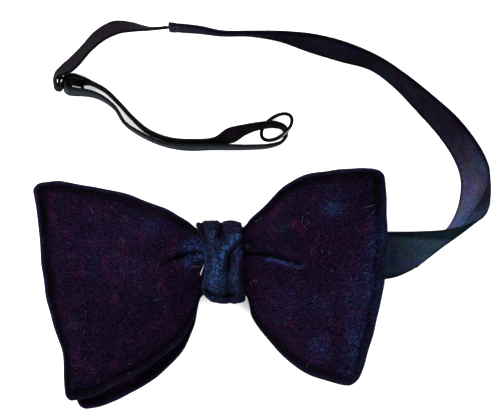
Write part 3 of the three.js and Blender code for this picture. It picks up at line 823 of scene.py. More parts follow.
def half_thickness(inset):
    """The rolled rim, the stitched groove beside it and the padded panel."""
    rim = RIM_HALF * rounded_edge(inset, RIM_ROLL, 0.01)
    panel = mix(rim, PANEL_HALF, smoothstep(inset, *PANEL_EDGE))
    return panel - GROOVE_DEPTH * bell(inset - GROOVE_INSET, GROOVE_WIDTH)


def tip_dent(along, across):
    share = clamp((along - TIP_DENT_START) / (-1 - TIP_DENT_START))
    return share * sum(d["depth"] * bell(across - d["across"], d["width"]) for d in TIP_DENTS)


def rounded_corner(tip_inset, edge_inset):
    """Bends a square corner of the pattern into a round one, and gives the depth in from it."""
    u = 1 - tip_inset / CORNER_RADIUS
    v = 1 - edge_inset / CORNER_RADIUS
    depth = CORNER_RADIUS * (1 - math.sqrt(max(0, u * u + v * v - u * u * v * v)))
    tip = CORNER_RADIUS * (1 - u * math.sqrt(1 - v * v / 2))
    edge = CORNER_RADIUS * (1 - v * math.sqrt(1 - u * u / 2))
    return tip, edge, depth


def wing_point(wings, blank):
    """Where a point of the blank slab lies on the butterfly, and how far in from its edge."""
    sections = wings["sections"]
    side = -1 if blank.x < 0 else 1
    reach = LEFT_REACH if side < 0 else RIGHT_REACH
    step_in = (1 - abs(blank.x)) * WING_STEPS_ALONG
    tip_inset = inset_of(step_in, WING_STEPS_ALONG, reach, 1)
    rough = read_table(sections, "along", side * (1 - tip_inset / reach))
    half_height = (rough["topY"] - rough["bottomY"]) / 2
    rim_scale = min(1, half_height / WAIST_HALF_HEIGHT)
    step_across = (1 - abs(blank.y)) * WING_STEPS_ACROSS
    edge_inset = inset_of(step_across, WING_STEPS_ACROSS, half_height, rim_scale)
    inset = min(tip_inset, edge_inset / rim_scale)
    if tip_inset < CORNER_RADIUS and edge_inset < CORNER_RADIUS:
        tip_inset, edge_inset, inset = rounded_corner(tip_inset, edge_inset)
    row = read_table(sections, "along", side * (1 - tip_inset / reach))
    across = math.copysign(1 - edge_inset / half_height, blank.y)
    share = (across + 1) / 2
    x = mix(row["bottomX"], row["topX"], share) + row["bulge"] * (1 - across**2)
    x += tip_dent(row["along"], across)
    y = mix(row["bottomY"], row["topY"], share)
    x += ripple(x, y, layer=20, size=8, height=0.45)
    y += ripple(x, y, layer=40, size=8, height=0.45)
    lay = read_table(LAY, "x", x)
    spread = math.exp(-(((y - UNDERLAY_MIDDLE_Y) / UNDERLAY_HALF_WIDTH) ** UNDERLAY_SQUARENESS))
    base = max(0, lay["lift"] * spread)
    base += wings["layers_below"] * (2 * RIM_HALF * lay["pad"] + LAYER_GAP)
    half = half_thickness(inset)
    if blank.z > 0:
        relief = ripple(x, y, layer=5, size=11, height=0.16)
        if wings["gathered"]:
            relief += swell_relief(x, y)
            half += smoothstep(inset, *CREASE_START) * crease_relief(CREASES, x, y)
        half += PANEL_CROWN * smoothstep(inset, *CROWN_RISE)
        half += relief * smoothstep(inset, *SWELL_START)
    z = base + lay["pad"] * (RIM_HALF + math.copysign(half, blank.z))
    return x, y, z, inset


def padded_swell(wings):
    """How far each place of the panels swells and puckers, as a grid of capped offsets: a
    cloth sheet held by the seam and the knot is blown up from below."""
    bm = bmesh.new()
    bmesh.ops.create_grid(bm, x_segments=TRIAL_LONG, y_segments=TRIAL_WIDE, size=1)
    rests, holds, cells = [], [], []
    for vert in bm.verts:
        cells.append((step_of(vert.co.x, TRIAL_LONG), step_of(vert.co.y, TRIAL_WIDE)))
        x, y, z, inset = wing_point(wings, Vector((*vert.co.xy, 1)))
        free = smoothstep(inset, *TRIAL_FREE_INSET)
        free *= smoothstep(abs(x - TRIAL_KNOT_X), *TRIAL_FREE_FROM_KNOT)
        holds.append(1 - free)
        rests.append(Vector((x, y, z)))
        vert.co = rests[-1] * TRIAL_SCALE
    mesh = meshed("trial_sheet", bm)
    sheet = placed("trial_sheet", mesh)
    held = sheet.vertex_groups.new(name="held")
    for i, hold in enumerate(holds):
        held.add([i], hold, "REPLACE")
    cloth = sheet.modifiers.new("cloth", "CLOTH")
    for setting, value in TRIAL_CLOTH.items():
        setattr(cloth.settings, setting, value)
    cloth.settings.vertex_group_mass = held.name
    cloth.settings.effector_weights.gravity = 0
    cloth.point_cache.frame_end = TRIAL_FRAMES
    scene = bpy.context.scene
    for moment in range(1, TRIAL_FRAMES + 1):
        scene.frame_set(moment)
    blown = sheet.evaluated_get(bpy.context.evaluated_depsgraph_get()).to_mesh()
    offsets = {}
    for vert, rest, cell, hold in zip(blown.vertices, rests, cells, holds):
        offset = (vert.co / TRIAL_SCALE - rest) * (1 - hold)
        offsets[cell] = offset * min(1, SWELL_CAP / max(offset.length, TINY))
    scene.frame_set(1)
    bpy.data.objects.remove(sheet)
    bpy.data.meshes.remove(mesh)
    return offsets


def between_cells(offsets, blank):
    """The offset at a place of the blank, from the four nearest places of the trial."""
    along = clamp((blank.x + 1) / 2 * TRIAL_LONG, 0, TRIAL_LONG - TINY)
    up = clamp((blank.y + 1) / 2 * TRIAL_WIDE, 0, TRIAL_WIDE - TINY)
    column, row = int(along), int(up)
    low = offsets[column, row].lerp(offsets[column + 1, row], along - column)
    high = offsets[column, row + 1].lerp(offsets[column + 1, row + 1], along - column)
    return low.lerp(high, up - row)


def butterfly(wings, material):
    """Both padded wings of one layer, with its painted rim sheen, its wear and painted highlights,
    and its painted shade kept in its attributes.
    """
    offsets = padded_swell(wings)
    bm = slab(2 * WING_STEPS_ALONG, 2 * WING_STEPS_ACROSS)
    rim, wear, painted_shade = value_layers(bm, "rim", "wear", "painted_shade")
    for vert in bm.verts:
        x, y, z, inset = wing_point(wings, vert.co)
        shown = wings["gathered"] and vert.co.z > 0
        painted_fold_shade = max(0, -crease_relief(CREASES, x, y)) if shown else 0
        # Painted sheen on the rolled rim, made patchy by noise
        patchy_sheen = RIM_SHEEN_LEVEL + ripple(x, y, layer=60, size=6, height=0.6)
        vert[rim] = clamp(patchy_sheen * (1 - smoothstep(inset, *RIM_SHEEN_FADE)))
        vert[wear] = wear_and_highlight_at(WEAR_AND_HIGHLIGHTS, x, y) if shown else 0
        # Painted shade in the stitched groove and the pinched creases
        shade = GROOVE_SHADE + ripple(x, y, layer=9, size=14, height=0.35)
        shade += GROOVE_SHADE_RISE * vert.co.y
        shade *= bell(inset - GROOVE_INSET, GROOVE_SHADE_WIDTH)
        vert[painted_shade] = clamp(shade + PINCH_SHADE * painted_fold_shade)
        swollen = offsets and vert.co.z > 0
        swell = between_cells(offsets, vert.co) if swollen else Vector()
        vert.co = Vector((x, y, z)) + swell
    obj = finished(wings["piece"], bm, material, [wings["node"]])
    return obj


def power(value, exponent):
    return math.copysign(abs(value) ** exponent, value)


def knot_point(blank):
    """Where a point of the blank hoop lies on the knot, and how much painted shade its fold gets.
    """
    turn = math.atan2(blank.y, blank.x)
    outward = math.hypot(blank.x, blank.y) - 2
    degrees = math.degrees(turn)
    row = read_table(KNOT_SECTIONS, "turn", degrees + 360 if degrees < -90 else degrees)
    wall = power(outward, KNOT_WALL_ROUNDING)
    x = mix(row["left"], row["right"], (clamp(blank.z, -1, 1) + 1) / 2)
    wavers = turn * KNOT_EDGE_WAVERS
    x += blank.z**2 * ripple(blank.z, wavers, layer=7, size=1, height=KNOT_EDGE_WAVER)
    squared = 2 / KNOT_SQUARENESS
    middle_y = KNOT_HALF_LENGTH * power(math.cos(turn), squared)
    middle_z = KNOT_HALF_DEPTH * power(math.sin(turn), squared)
    normal_y = power(middle_y / KNOT_HALF_LENGTH, KNOT_SQUARENESS - 1) / KNOT_HALF_LENGTH
    normal_z = power(middle_z / KNOT_HALF_DEPTH, KNOT_SQUARENESS - 1) / KNOT_HALF_DEPTH
    length = math.hypot(normal_y, normal_z)
    valleys = [row["left"], row["leftValley"], row["rightValley"], row["right"]]
    after = next((i for i in (1, 2, 3) if valleys[i] >= x), 3)
    width = valleys[after] - valleys[after - 1]
    arch = math.sin(math.pi * clamp((x - valleys[after - 1]) / width))
    lump = max(0, arch) ** KNOT_FOLD_ROUNDING
    off = wall * KNOT_WALL_HALF
    painted_fold_shade = 0
    if outward > 0:
        off += row["fold"] * KNOT_FOLD_HEIGHT * lump * min(1, width / KNOT_FULL_FOLD)
        front = row["fold"] * power(outward, 0.5)
        crease = crease_relief(KNOT_CREASES, x, middle_y)
        # Painted shade in the valleys between the folds and in the creases
        painted_darkening = VALLEY_SHADE * (VALLEY_START - lump)
        painted_fold_shade = clamp(painted_darkening + PINCH_SHADE * max(0, -crease)) * row["fold"]
        ridges = ripple(x / RIDGE_WIDTH, middle_y / RIDGE_LENGTH, layer=1, size=1, height=1)
        crushed = 1 - 2 * abs(ridges)
        across, along = x / LUMP_WIDTH, middle_y / LUMP_LENGTH
        lumps = ripple(across, along, layer=4, size=1, height=LUMP_HEIGHT)
        off += front * (crease + RIDGE_HEIGHT * crushed - RIDGE_SINK + lumps)
    y = middle_y + normal_y / length * off
    z = max(0, KNOT_MIDDLE_Z + middle_z + normal_z / length * off)
    return x, y, z, painted_fold_shade


def knot(material):
    """The wrap of rubbed velvet round both waists."""
    bm = hoop(KNOT_STEPS_ACROSS, 1, KNOT_STEPS_AROUND, 2)
    wear, painted_shade = value_layers(bm, "wear", "painted_shade")
    for vert in bm.verts:
        x, y, z, painted_fold_shade = knot_point(vert.co)
        vert[wear] = wear_and_highlight_at(KNOT_WEAR_AND_HIGHLIGHTS, x, y) if z > KNOT_MIDDLE_Z else 0
        vert[painted_shade] = painted_fold_shade
        vert.co = (x, y, z)
    bmesh.ops.recalc_face_normals(bm, faces=bm.faces)
    obj = finished("knot_velvet", bm, material, ["knot"])
    return obj


def curve_points(points, steps):
    """Places along a smooth centripetal curve through the points, evenly shared between them."""
    last = len(points) - 1
    places = []
    for step in range(steps + 1):
        travel = last * step / steps
        i = min(int(travel), last - 1)
        w = travel - i
        p1, p2 = points[i], points[i + 1]
        p0 = points[i - 1] if i > 0 else 2 * p1 - p2
        p3 = points[i + 2] if i < last - 1 else 2 * p2 - p1
        spans = ((p0, p1), (p1, p2), (p2, p3))
        d0, d1, d2 = (max(LEAST_SPAN, (b - a).length ** 0.5) for a, b in spans)
        slope1 = ((p1 - p0) / d0 - (p2 - p0) / (d0 + d1) + (p2 - p1) / d1) * d1
        slope2 = ((p2 - p1) / d1 - (p3 - p1) / (d1 + d2) + (p3 - p2) / d2) * d1
        cube = 2 * p1 - 2 * p2 + slope1 + slope2
        square = -3 * p1 + 3 * p2 - 2 * slope1 - slope2
        places.append(p1 + slope1 * w + square * w * w + cube * w**3)
    return places


def ribbon(rows, half, steps_per_section, steps_across, relief):
    """A flat strip ruled between two edge curves, with soft edges. The relief gives how far the
    cloth swells from its middle, and its own map holds both lengths in metres."""
    steps = steps_per_section * (len(rows) - 1)
    near = curve_points([spot(row, NEAR_EDGE) for row in rows], steps)
    far = curve_points([spot(row, FAR_EDGE) for row in rows], steps)
    travel = lengths_along([(a + b) / 2 for a, b in zip(near, far)])
    bm = slab(steps, steps_across)
    length_layer, width_layer, back = value_layers(bm, "along", "across", "back")
    for vert in bm.verts:
        vert[back] = 0 if vert.co.z > 0 else 1
        i = step_of(vert.co.x, steps)
        even = (vert.co.y + 1) / 2
        share = even - EDGE_CROWDING * math.sin(2 * math.pi * even) / (2 * math.pi)
        before, after = max(i - 1, 0), min(i + 1, steps)
        ruling = far[i] - near[i]
        tangent = near[after].lerp(far[after], share) - near[before].lerp(far[before], share)
        normal = tangent.cross(ruling).normalized()
        width = ruling.length
        edge = min(share, 1 - share) * width
        end = min(travel[i], travel[-1] - travel[i])
        thick = half * rounded_edge(edge, half)
        thick *= mix(END_SHARE, 1, rounded_edge(end, END_ROUNDING * half))
        swell = relief(travel[i], travel[-1], share * width, width, vert.co.z)
        vert[length_layer] = travel[i] * MM
        vert[width_layer] = share * width * MM
        vert.co = near[i].lerp(far[i], share) + normal * (vert.co.z * thick + swell)
    lay = bm.loops.layers.uv.new("lay")
    for face in bm.faces:
        for loop in face.loops:
            loop[lay].uv = (loop.vert[length_layer], loop.vert[width_layer])
    return bm, travel[-1]


def band_relief(along, total, across, width, side):
    """Soft slack, a pressed line inside each edge, and the hem, which its stitches pull in."""
    edge = min(across, width - across)
    line = EDGE_LINE_DEPTH * bell(edge - EDGE_LINE_INSET, EDGE_LINE_WIDTH)
    long, wide = along / SLACK_LENGTH, across / SLACK_WIDTH
    slack = ripple(long, wide, layer=3, size=1, height=SLACK_HEIGHT)
    hem_start = total - HEM_LENGTH
    hem = HEM_SWELL * smoothstep(along, hem_start - HEM_RISE, hem_start) * smoothstep(edge, 0, 1)
    pulled = HEM_SWELL * bell(along - hem_start + HEM_STITCH_OFF, HEM_RISE)
    return slack * smoothstep(edge, 0, SLACK_RISE) + side * (hem - line - pulled)


def tape_relief(along, total, across, width, side):
    """The thicker selvedges and the cross ribs."""
    cord = CORD_HEIGHT * bell(min(across, width - across) - CORD_INSET, CORD_WIDTH)
    return side * (cord + RIB_HEIGHT * math.sin(2 * math.pi * along / RIB_PITCH))


def slider_place():
    """Length, width and face directions of the leaning slider, as a matrix."""
    heading, lean = math.radians(SLIDER_HEADING), math.radians(SLIDER_LEAN)
    length = Vector((math.cos(heading), math.sin(heading), 0))
    flat = Vector((-math.sin(heading), math.cos(heading), 0)) * math.cos(lean)
    width = flat + Vector((0, 0, math.sin(lean)))
    face = length.cross(width)
    turned = Matrix((length, width, face)).transposed().to_4x4()
    return Matrix.Translation((SLIDER_X, SLIDER_Y, SLIDER_Z)) @ turned


def edges_from_middle(middle, across):
    near, far = middle - across * TAPE_WIDTH / 2, middle + across * TAPE_WIDTH / 2
    return table(f"{NEAR_EDGE} {FAR_EDGE}", (*near, *far))[0]


def leaning_row(row):
    heading, lean = math.radians(row["heading"]), math.radians(row["lean"])
    flat = math.cos(lean)
    across = Vector((math.cos(heading) * flat, math.sin(heading) * flat, math.sin(lean)))
    return edges_from_middle(spot(row), across)


def threaded_row(row):
    place = slider_place()
    across = place.to_3x3() @ Vector((0, 1, 0))
    return edges_from_middle(place @ Vector((row["along"], 0, row["off"])), across)


def slider(material):
    """Three bars in one frame: a plate with two slots, its corners and edges rounded."""
    bm = bmesh.new()
    half_length, half_width, bar = SLIDER_LENGTH / 2, SLIDER_WIDTH / 2, SLIDER_BAR
    columns = [-half_length, bar - half_length, -bar / 2, bar / 2, half_length - bar, half_length]
    rows = [-half_width, bar - half_width, half_width - bar, half_width]
    long, wide = len(columns) - 1, len(rows) - 1
    bmesh.ops.create_grid(bm, x_segments=long, y_segments=wide, size=1)
    for vert in bm.verts:
        x, y = columns[step_of(vert.co.x, long)], rows[step_of(vert.co.y, wide)]
        vert.co = (x, y, -bar / 2)
    slots = []
    for face in bm.faces:
        middle = face.calc_center_median()
        if abs(middle.y) < rows[2] and bar / 2 < abs(middle.x) < half_length - bar:
            slots.append(face)
    bmesh.ops.delete(bm, geom=slots, context="FACES")
    thickened(bm, bar)
    corners = [
        e for e in bm.edges
        if abs(e.verts[0].co.z - e.verts[1].co.z) > bar / 2
        and abs(e.verts[0].co.x) > half_length - TINY
        and abs(e.verts[0].co.y) > half_width - TINY
    ]
    bevel_edges(bm, corners, SLIDER_CORNER, segments=6)
    sharp = [e for e in bm.edges if e.is_manifold and e.calc_face_angle() > SHARP_ANGLE]
    bevel_edges(bm, sharp, SLIDER_ROUNDING, segments=3)
    bmesh.ops.transform(bm, matrix=slider_place(), verts=bm.verts)
    return finished("slider_frame", bm, material, ["slider"])


def bevel_edges(bm, edges, offset, segments):
    bmesh.ops.bevel(
        bm,
        geom=edges,
        offset=offset,
        offset_type="OFFSET",
        segments=segments,
        profile=0.5,
        affect="EDGES",
        clamp_overlap=True,
        material=-1,
    )


def ring(material):
    bm = hoop(RING_WIRE_STEPS, RING_WIRE_RADIUS, RING_STEPS, RING_RADIUS)
    tilt = Matrix.Rotation(math.radians(RING_TILT), 3, "X")
    heading = Matrix.Rotation(math.radians(RING_HEADING) + math.pi, 3, "Z")
    bmesh.ops.rotate(bm, verts=bm.verts, matrix=heading @ tilt)
    lowest = min(v.co.z for v in bm.verts)
    bmesh.ops.translate(bm, verts=bm.verts, vec=(RING_X, RING_Y, -lowest))
    return finished("ring_wire", bm, material, ["ring"])


def stitch(bm, place, along, out, length, radius):
    """One short stitch: a slim bead of thread that lies along the seam."""
    along = along.normalized()
    aside = out.cross(along).normalized()
    axes = Matrix((aside, along.cross(aside), along)).transposed()
    shape = Matrix.Diagonal((radius, STITCH_FLATNESS * radius, length / 2))
    turned = (axes @ shape).to_4x4()
    matrix = Matrix.Translation(place) @ turned
    bmesh.ops.create_uvsphere(bm, u_segments=6, v_segments=4, radius=1, matrix=matrix)


def seam_path(wings):
    """Places along the bottom of the stitched groove, round the whole butterfly."""
    step = RIM_STEPS * (GROOVE_INSET / RIM_REACH) ** (1 / RIM_CROWDING)
    tip, side = 1 - step / WING_STEPS_ALONG, 1 - step / WING_STEPS_ACROSS
    corners = [(-tip, -side), (tip, -side), (tip, side), (-tip, side), (-tip, -side)]
    places = []
    for (x1, y1), (x2, y2) in zip(corners, corners[1:]):
        for i in range(SEAM_SAMPLES):
            share = i / SEAM_SAMPLES
            blank = Vector((mix(x1, x2, share), mix(y1, y2, share), 1))
            places.append(Vector(wing_point(wings, blank)[:3]))
    return places


def sew_along(bm, places, pitch, length, radius):
    """Stitches at an even pitch along the places, but none under the knot."""
    due = 0.0
    travel = lengths_along(places)[1:]
    for before, after, reached in zip(places, places[1:], travel):
        if reached >= due:
            due += pitch
            if abs(after.x) > UNDER_KNOT:
                stitch(bm, after, after - before, Vector((0, 0, 1)), length, radius)


def sew_across(bm, start, end, out, count):
    """A straight row of stitches that lie across a ribbon."""
    for i in range(count):
        place = start.lerp(end, (i + 0.5) / count)
        length = STITCH_SHARE * (end - start).length / count
        stitch(bm, place, end - start, out, length, STITCH_RADIUS)


def fibre(bm, place, out, heading, length, bend, radius):
    """A loose fibre lying on the cloth: a fine round swept along an arc."""
    level = Vector((math.cos(heading), math.sin(heading), 0))
    aside = out.cross(level).normalized()
    axes = Matrix((aside, out, aside.cross(out))).transposed().to_4x4()
    matrix = Matrix.Translation(place + out * radius) @ axes
    made = bmesh.ops.create_circle(bm, cap_ends=True, segments=5, radius=radius, matrix=matrix)
    rim = made["verts"]
    edges = {e for v in rim for e in v.link_edges}
    faces = {f for v in rim for f in v.link_faces}
    middle = place + aside * (length / bend)
    bmesh.ops.spin(
        bm, geom=[*rim, *edges, *faces], cent=middle, axis=out, angle=-bend, steps=6
    )


def speck(bm, place, out, radius, dice):
    """A crumb of lint pressed into the pile."""
    turn = out.to_track_quat("Z", "Y").to_matrix()
    spun = Matrix.Rotation(dice.uniform(0, math.pi), 3, "Z")
    breadth = radius * dice.uniform(*SPECK_BREADTH)
    shape = Matrix.Diagonal((radius, breadth, radius * SPECK_FLATNESS))
    matrix = Matrix.Translation(place) @ (turn @ spun @ shape).to_4x4()
    bmesh.ops.create_icosphere(bm, subdivisions=1, radius=1, matrix=matrix)


def surface_of(objects):
    """What the cloth's outer faces are, in millimetres, to drop lint on."""
    places, polygons = [], []
    for obj in objects:
        first = len(places)
        places += [v.co / MM for v in obj.data.vertices]
        polygons += [[first + i for i in face.vertices] for face in obj.data.polygons]
    return BVHTree.FromPolygons(places, polygons)


def dropped(cloth, x, y):
    """Where something dropped from above lands on the cloth, and the way out from it."""
    place, out, _, _ = cloth.ray_cast(Vector((x, y, DROP_HEIGHT)), Vector((0, 0, -1)))
    return (place, out) if place is not None and out.z > LEVEL_ENOUGH else (None, None)


def lint(cloth, material):
    """Crumbs and fibres on the velvet: even scatters, the clusters and the long hairs."""
    dice = random.Random(LINT_SEED)
    bm = bmesh.new()
    for _ in range(SPECKS):
        place, out = dropped(cloth, dice.uniform(*SPECK_X), dice.uniform(*SPECK_Y))
        if place:
            speck(bm, place, out, dice.uniform(*SPECK_RADIUS), dice)
    for cluster in LINT_CLUSTERS:
        for _ in range(cluster["specks"]):
            x = dice.gauss(cluster["x"], cluster["radiusX"] / SPREADS_PER_RADIUS)
            y = dice.gauss(cluster["y"], cluster["radiusY"] / SPREADS_PER_RADIUS)
            place, out = dropped(cloth, x, y)
            if place:
                speck(bm, place, out, dice.uniform(*CLUSTERED_RADIUS), dice)
    for _ in range(FIBRES):
        place, out = dropped(cloth, dice.uniform(*FIBRE_X), dice.uniform(*FIBRE_Y))
        if place:
            heading, length = dice.uniform(*FIBRE_HEADING), dice.uniform(*FIBRE_LENGTH)
            fibre(bm, place, out, heading, length, dice.uniform(*FIBRE_BEND), FIBRE_RADIUS)
    for hair in LONG_HAIRS:
        place, out = dropped(cloth, hair["x"], hair["y"])
        if place:
            heading = math.radians(hair["heading"])
            fibre(bm, place, out, heading, hair["length"], hair["bend"], HAIR_RADIUS)
    close_ends(bm)
    return finished("velvet_lint", bm, material)


def lining_sliver(cloth, material):
    """The edge of the pale lining that peeps out where the knot presses the left wing."""
    bm = bmesh.new()
    for peep in LINING_PEEPS:
        place, out = dropped(cloth, peep["x"], peep["y"])
        stitch(bm, place, Vector(LINING_RUN), out, peep["length"], peep["radius"])
    return finished("lining_sliver", bm, material)


def close_ends(bm):
    open_edges = [e for e in bm.edges if e.is_boundary]
    if open_edges:
        bmesh.ops.holes_fill(bm, edges=open_edges, sides=8)
    bmesh.ops.recalc_face_normals(bm, faces=bm.faces)


def wing_stitching(material):
    """The row of stitches in the groove of both butterflies."""
    bm = bmesh.new()
    for wings in (FRONT_WINGS, BACK_WINGS):
        sew_along(bm, seam_path(wings), EDGE_STITCH_PITCH, EDGE_STITCH_LENGTH, STITCH_RADIUS)
    return finished("wing_seam_stitches", bm, material)


def ribbon_stitching(material):
    """The band's hem over the tape's end, and the tape sewn to itself beside the slider."""
    bm = bmesh.new()
    inner, outer = BAND_LOOP[-2], BAND_LOOP[-1]
    share = 1 - (HEM_LENGTH + HEM_STITCH_OFF) / (inner["nearX"] - outer["nearX"])
    low, high = (spot(inner, edge).lerp(spot(outer, edge), share) for edge in (NEAR_EDGE, FAR_EDGE))
    out = (high - low).cross(Vector((-1, 0, 0))).normalized()
    start, end = (low.lerp(high, reach) for reach in HEM_STITCHED)
    for side in (1, -1):
        off = out * side * (BAND_HALF_THICKNESS - STITCH_SINK)
        sew_across(bm, start + off, end + off, out * side, HEM_STITCHES)
    place = slider_place()
    face = place.to_3x3() @ Vector((0, 0, 1))
    for along in TAPE_STITCH_ROWS:
        start = place @ Vector((along, -TAPE_STITCH_REACH, 2 + TAPE_HALF_THICKNESS))
        end = place @ Vector((along, TAPE_STITCH_REACH, 2 + TAPE_HALF_THICKNESS))
        sew_across(bm, start, end, face, TAPE_STITCHES)
    return finished("ribbon_stitches", bm, material)


def frayed_end(material):
    """Threads that stick out where the tape turns round the slider."""
    bm = bmesh.new()
    for row in FRAYED_THREADS:
        out = spot(row, "outX outY outZ").normalized()
        fibre(bm, spot(row), out, row["heading"], row["length"], row["bend"], row["radius"])
    close_ends(bm)
    return finished("frayed_tape_threads", bm, material)


def linear(colour):
    """A hex colour as the linear values that a shader takes."""
    channels = [int(colour[i : i + 2], 16) / 255 for i in (1, 3, 5)]
    return (*[c / 12.92 if c <= 0.04045 else ((c + 0.055) / 1.055) ** 2.4 for c in channels], 1)


def node(tree, kind, inputs=None, **settings):
    """Adds a node with its settings, feeds its inputs with sockets, hex colours or values, and
    gives its outputs."""
    made = tree.nodes.new("ShaderNode" + kind)
    for name, value in settings.items():
        setattr(made, name, value)
    for name, value in (inputs or {}).items():
        if isinstance(value, bpy.types.NodeSocket):
            tree.links.new(value, made.inputs[name])
        else:
            made.inputs[name].default_value = linear(value) if isinstance(value, str) else value
    return made.outputs


def layered(tree, colour, *layers, blend="MIX"):
    """Lays tints over a colour in turn, each given as its share and its tint. A Mix node takes
    its colours in inputs 6 and 7 and gives one in output 2."""
    for share, tint in layers:
        inputs = {0: share, 6: colour, 7: tint}
        colour = node(tree, "Mix", inputs, data_type="RGBA", blend_type=blend)[2]
    return colour


def grain(tree, coords, name):
    """Noise of that row of the grain table, stretched to run from 0 to 1."""
    row = next(r for r in GRAINS if r["name"] == name)
    inputs = {"Vector": coords, "Scale": 1 / (row["size"] * MM), "Detail": row["detail"]}
    value = node(tree, "TexNoise", inputs)[0]
    inputs = {"Value": value, "From Min": row["low"], "From Max": row["high"]}
    return node(tree, "MapRange", inputs)[0]


def dyed_unevenly(tree, coords, colour, size, detail):
    """Fibres that took the dye unevenly, as hues in spots of that size."""
    inputs = {"Vector": coords, "Scale": 1 / (size * MM), "Detail": detail}
    hues = node(tree, "TexNoise", inputs)[1]
    return layered(tree, colour, (UNEVEN_DYE, hues), blend="OVERLAY")


def edge_shade(tree, across, width, reach, darkest):
    """Shade over that reach from both edges of a ribbon; across is in metres."""
    inputs = {0: across, 1: width / 2 * MM}
    centred = node(tree, "Math", inputs, operation="SUBTRACT")[0]
    off = node(tree, "Math", {0: centred}, operation="ABSOLUTE")[0]
    start, end = (width / 2 - reach) * MM, (width / 2 - reach / 3) * MM
    inputs = {"Value": off, "From Min": start, "From Max": end, "To Min": 1.0, "To Max": darkest}
    return node(tree, "MapRange", inputs)[0]


def new_material(name):
    material = bpy.data.materials.new(name)
    material.use_nodes = True
    material.node_tree.nodes.clear()
    return material


def with_shader(material, inputs, height=None, strength=0, depth=0):
    """Gives the material its shader, with a relief of that depth in millimetres."""
    tree = material.node_tree
    if height is not None:
        relief = {"Height": height, "Strength": strength, "Distance": depth * MM}
        inputs["Normal"] = node(tree, "Bump", relief)[0]
    shader = node(tree, "BsdfPrincipled", inputs)[0]
    node(tree, "OutputMaterial", {"Surface": shader})
    return material


def velvet(name, deep, plum, teal, rubbed, lifted, worn_share, nap):
    """Cut-pile silk velvet: near black head on, with a plum cast and flecks of the dyed
    fibres, bluer where the pile is rubbed, lit by painted highlights, painted glints and a painted
    sheen on the rim, and darkened by painted shade in the stitched groove, the creases and the
    knot's valleys."""
    material = new_material(name)
    tree = material.node_tree
    coords = node(tree, "TexCoord")["Object"]
    aside = node(tree, "Mapping", {"Vector": coords, "Location": (0.3, 0.1, 0)})[0]
    worn_and_lit, edge, painted_shade_share = (
        node(tree, "Attribute", attribute_name=layer)["Fac"] for layer in ("wear", "rim", "painted_shade")
    )
    # The pile's tufts stand 0.2 mm apart; drawn at 0.55 mm so that they show
    pile = grain(tree, coords, "pile")
    tufts = grain(tree, coords, "tufts")
    tufted = node(tree, "MapRange", {"Value": tufts, "To Min": TUFT_HOLLOW})[0]
    # Rubbed pile and painted highlights, broken up by the tufts
    worn_and_lit = node(tree, "Math", {0: worn_and_lit, 1: tufted}, operation="MULTIPLY")[0]
    worn_and_lit = node(tree, "Math", {0: worn_and_lit, 1: worn_share}, operation="ADD", use_clamp=True)[0]
    # Painted sheen along the rolled rim, in its own paler colour
    edge = node(tree, "Math", {0: edge, 1: RIM_SHEEN_STRENGTH}, operation="MULTIPLY")[0]
    glints = grain(tree, aside, "glints")
    glints = node(tree, "Math", {0: glints, 1: GLINT_SHARE}, operation="MULTIPLY")[0]
    shade = node(tree, "MapRange", {"Value": pile, "To Min": 1 - nap, "To Max": 1 + nap})[0]
    colour = layered(
        tree,
        deep,
        (grain(tree, coords, "plum_clouds"), plum),
        (grain(tree, coords, "magenta_flecks"), "#22061f"),
        (grain(tree, aside, "teal_flecks"), teal),
        (worn_and_lit, rubbed),
        (edge, lifted),
    )
    colour = layered(tree, colour, (1.0, shade), blend="MULTIPLY")
    colour = layered(tree, colour, (glints, rubbed))
    # Single fibres of 0.02 mm took the dye unevenly; drawn at 0.5 mm so that it shows
    colour = dyed_unevenly(tree, coords, colour, size=0.5, detail=2)
    # Painted shade in the stitched groove, the creases and the knot's valleys
    painted_darkening = node(tree, "MapRange", {"Value": painted_shade_share, "To Min": 1.0, "To Max": PAINTED_SHADE_DARKEST})[0]
    inputs = {
        "Base Color": layered(tree, colour, (1.0, painted_darkening), blend="MULTIPLY"),
        "Roughness": 0.94,
        "Specular IOR Level": 0.02,
        "Sheen Weight": 0.025,
        "Sheen Roughness": 0.42,
        "Sheen Tint": "#786fb8",
    }
    height = {0: tufts, 1: 0.5, 2: pile}
    height = node(tree, "Math", height, operation="MULTIPLY_ADD")[0]
    return with_shader(material, inputs, height, strength=0.8, depth=0.16)


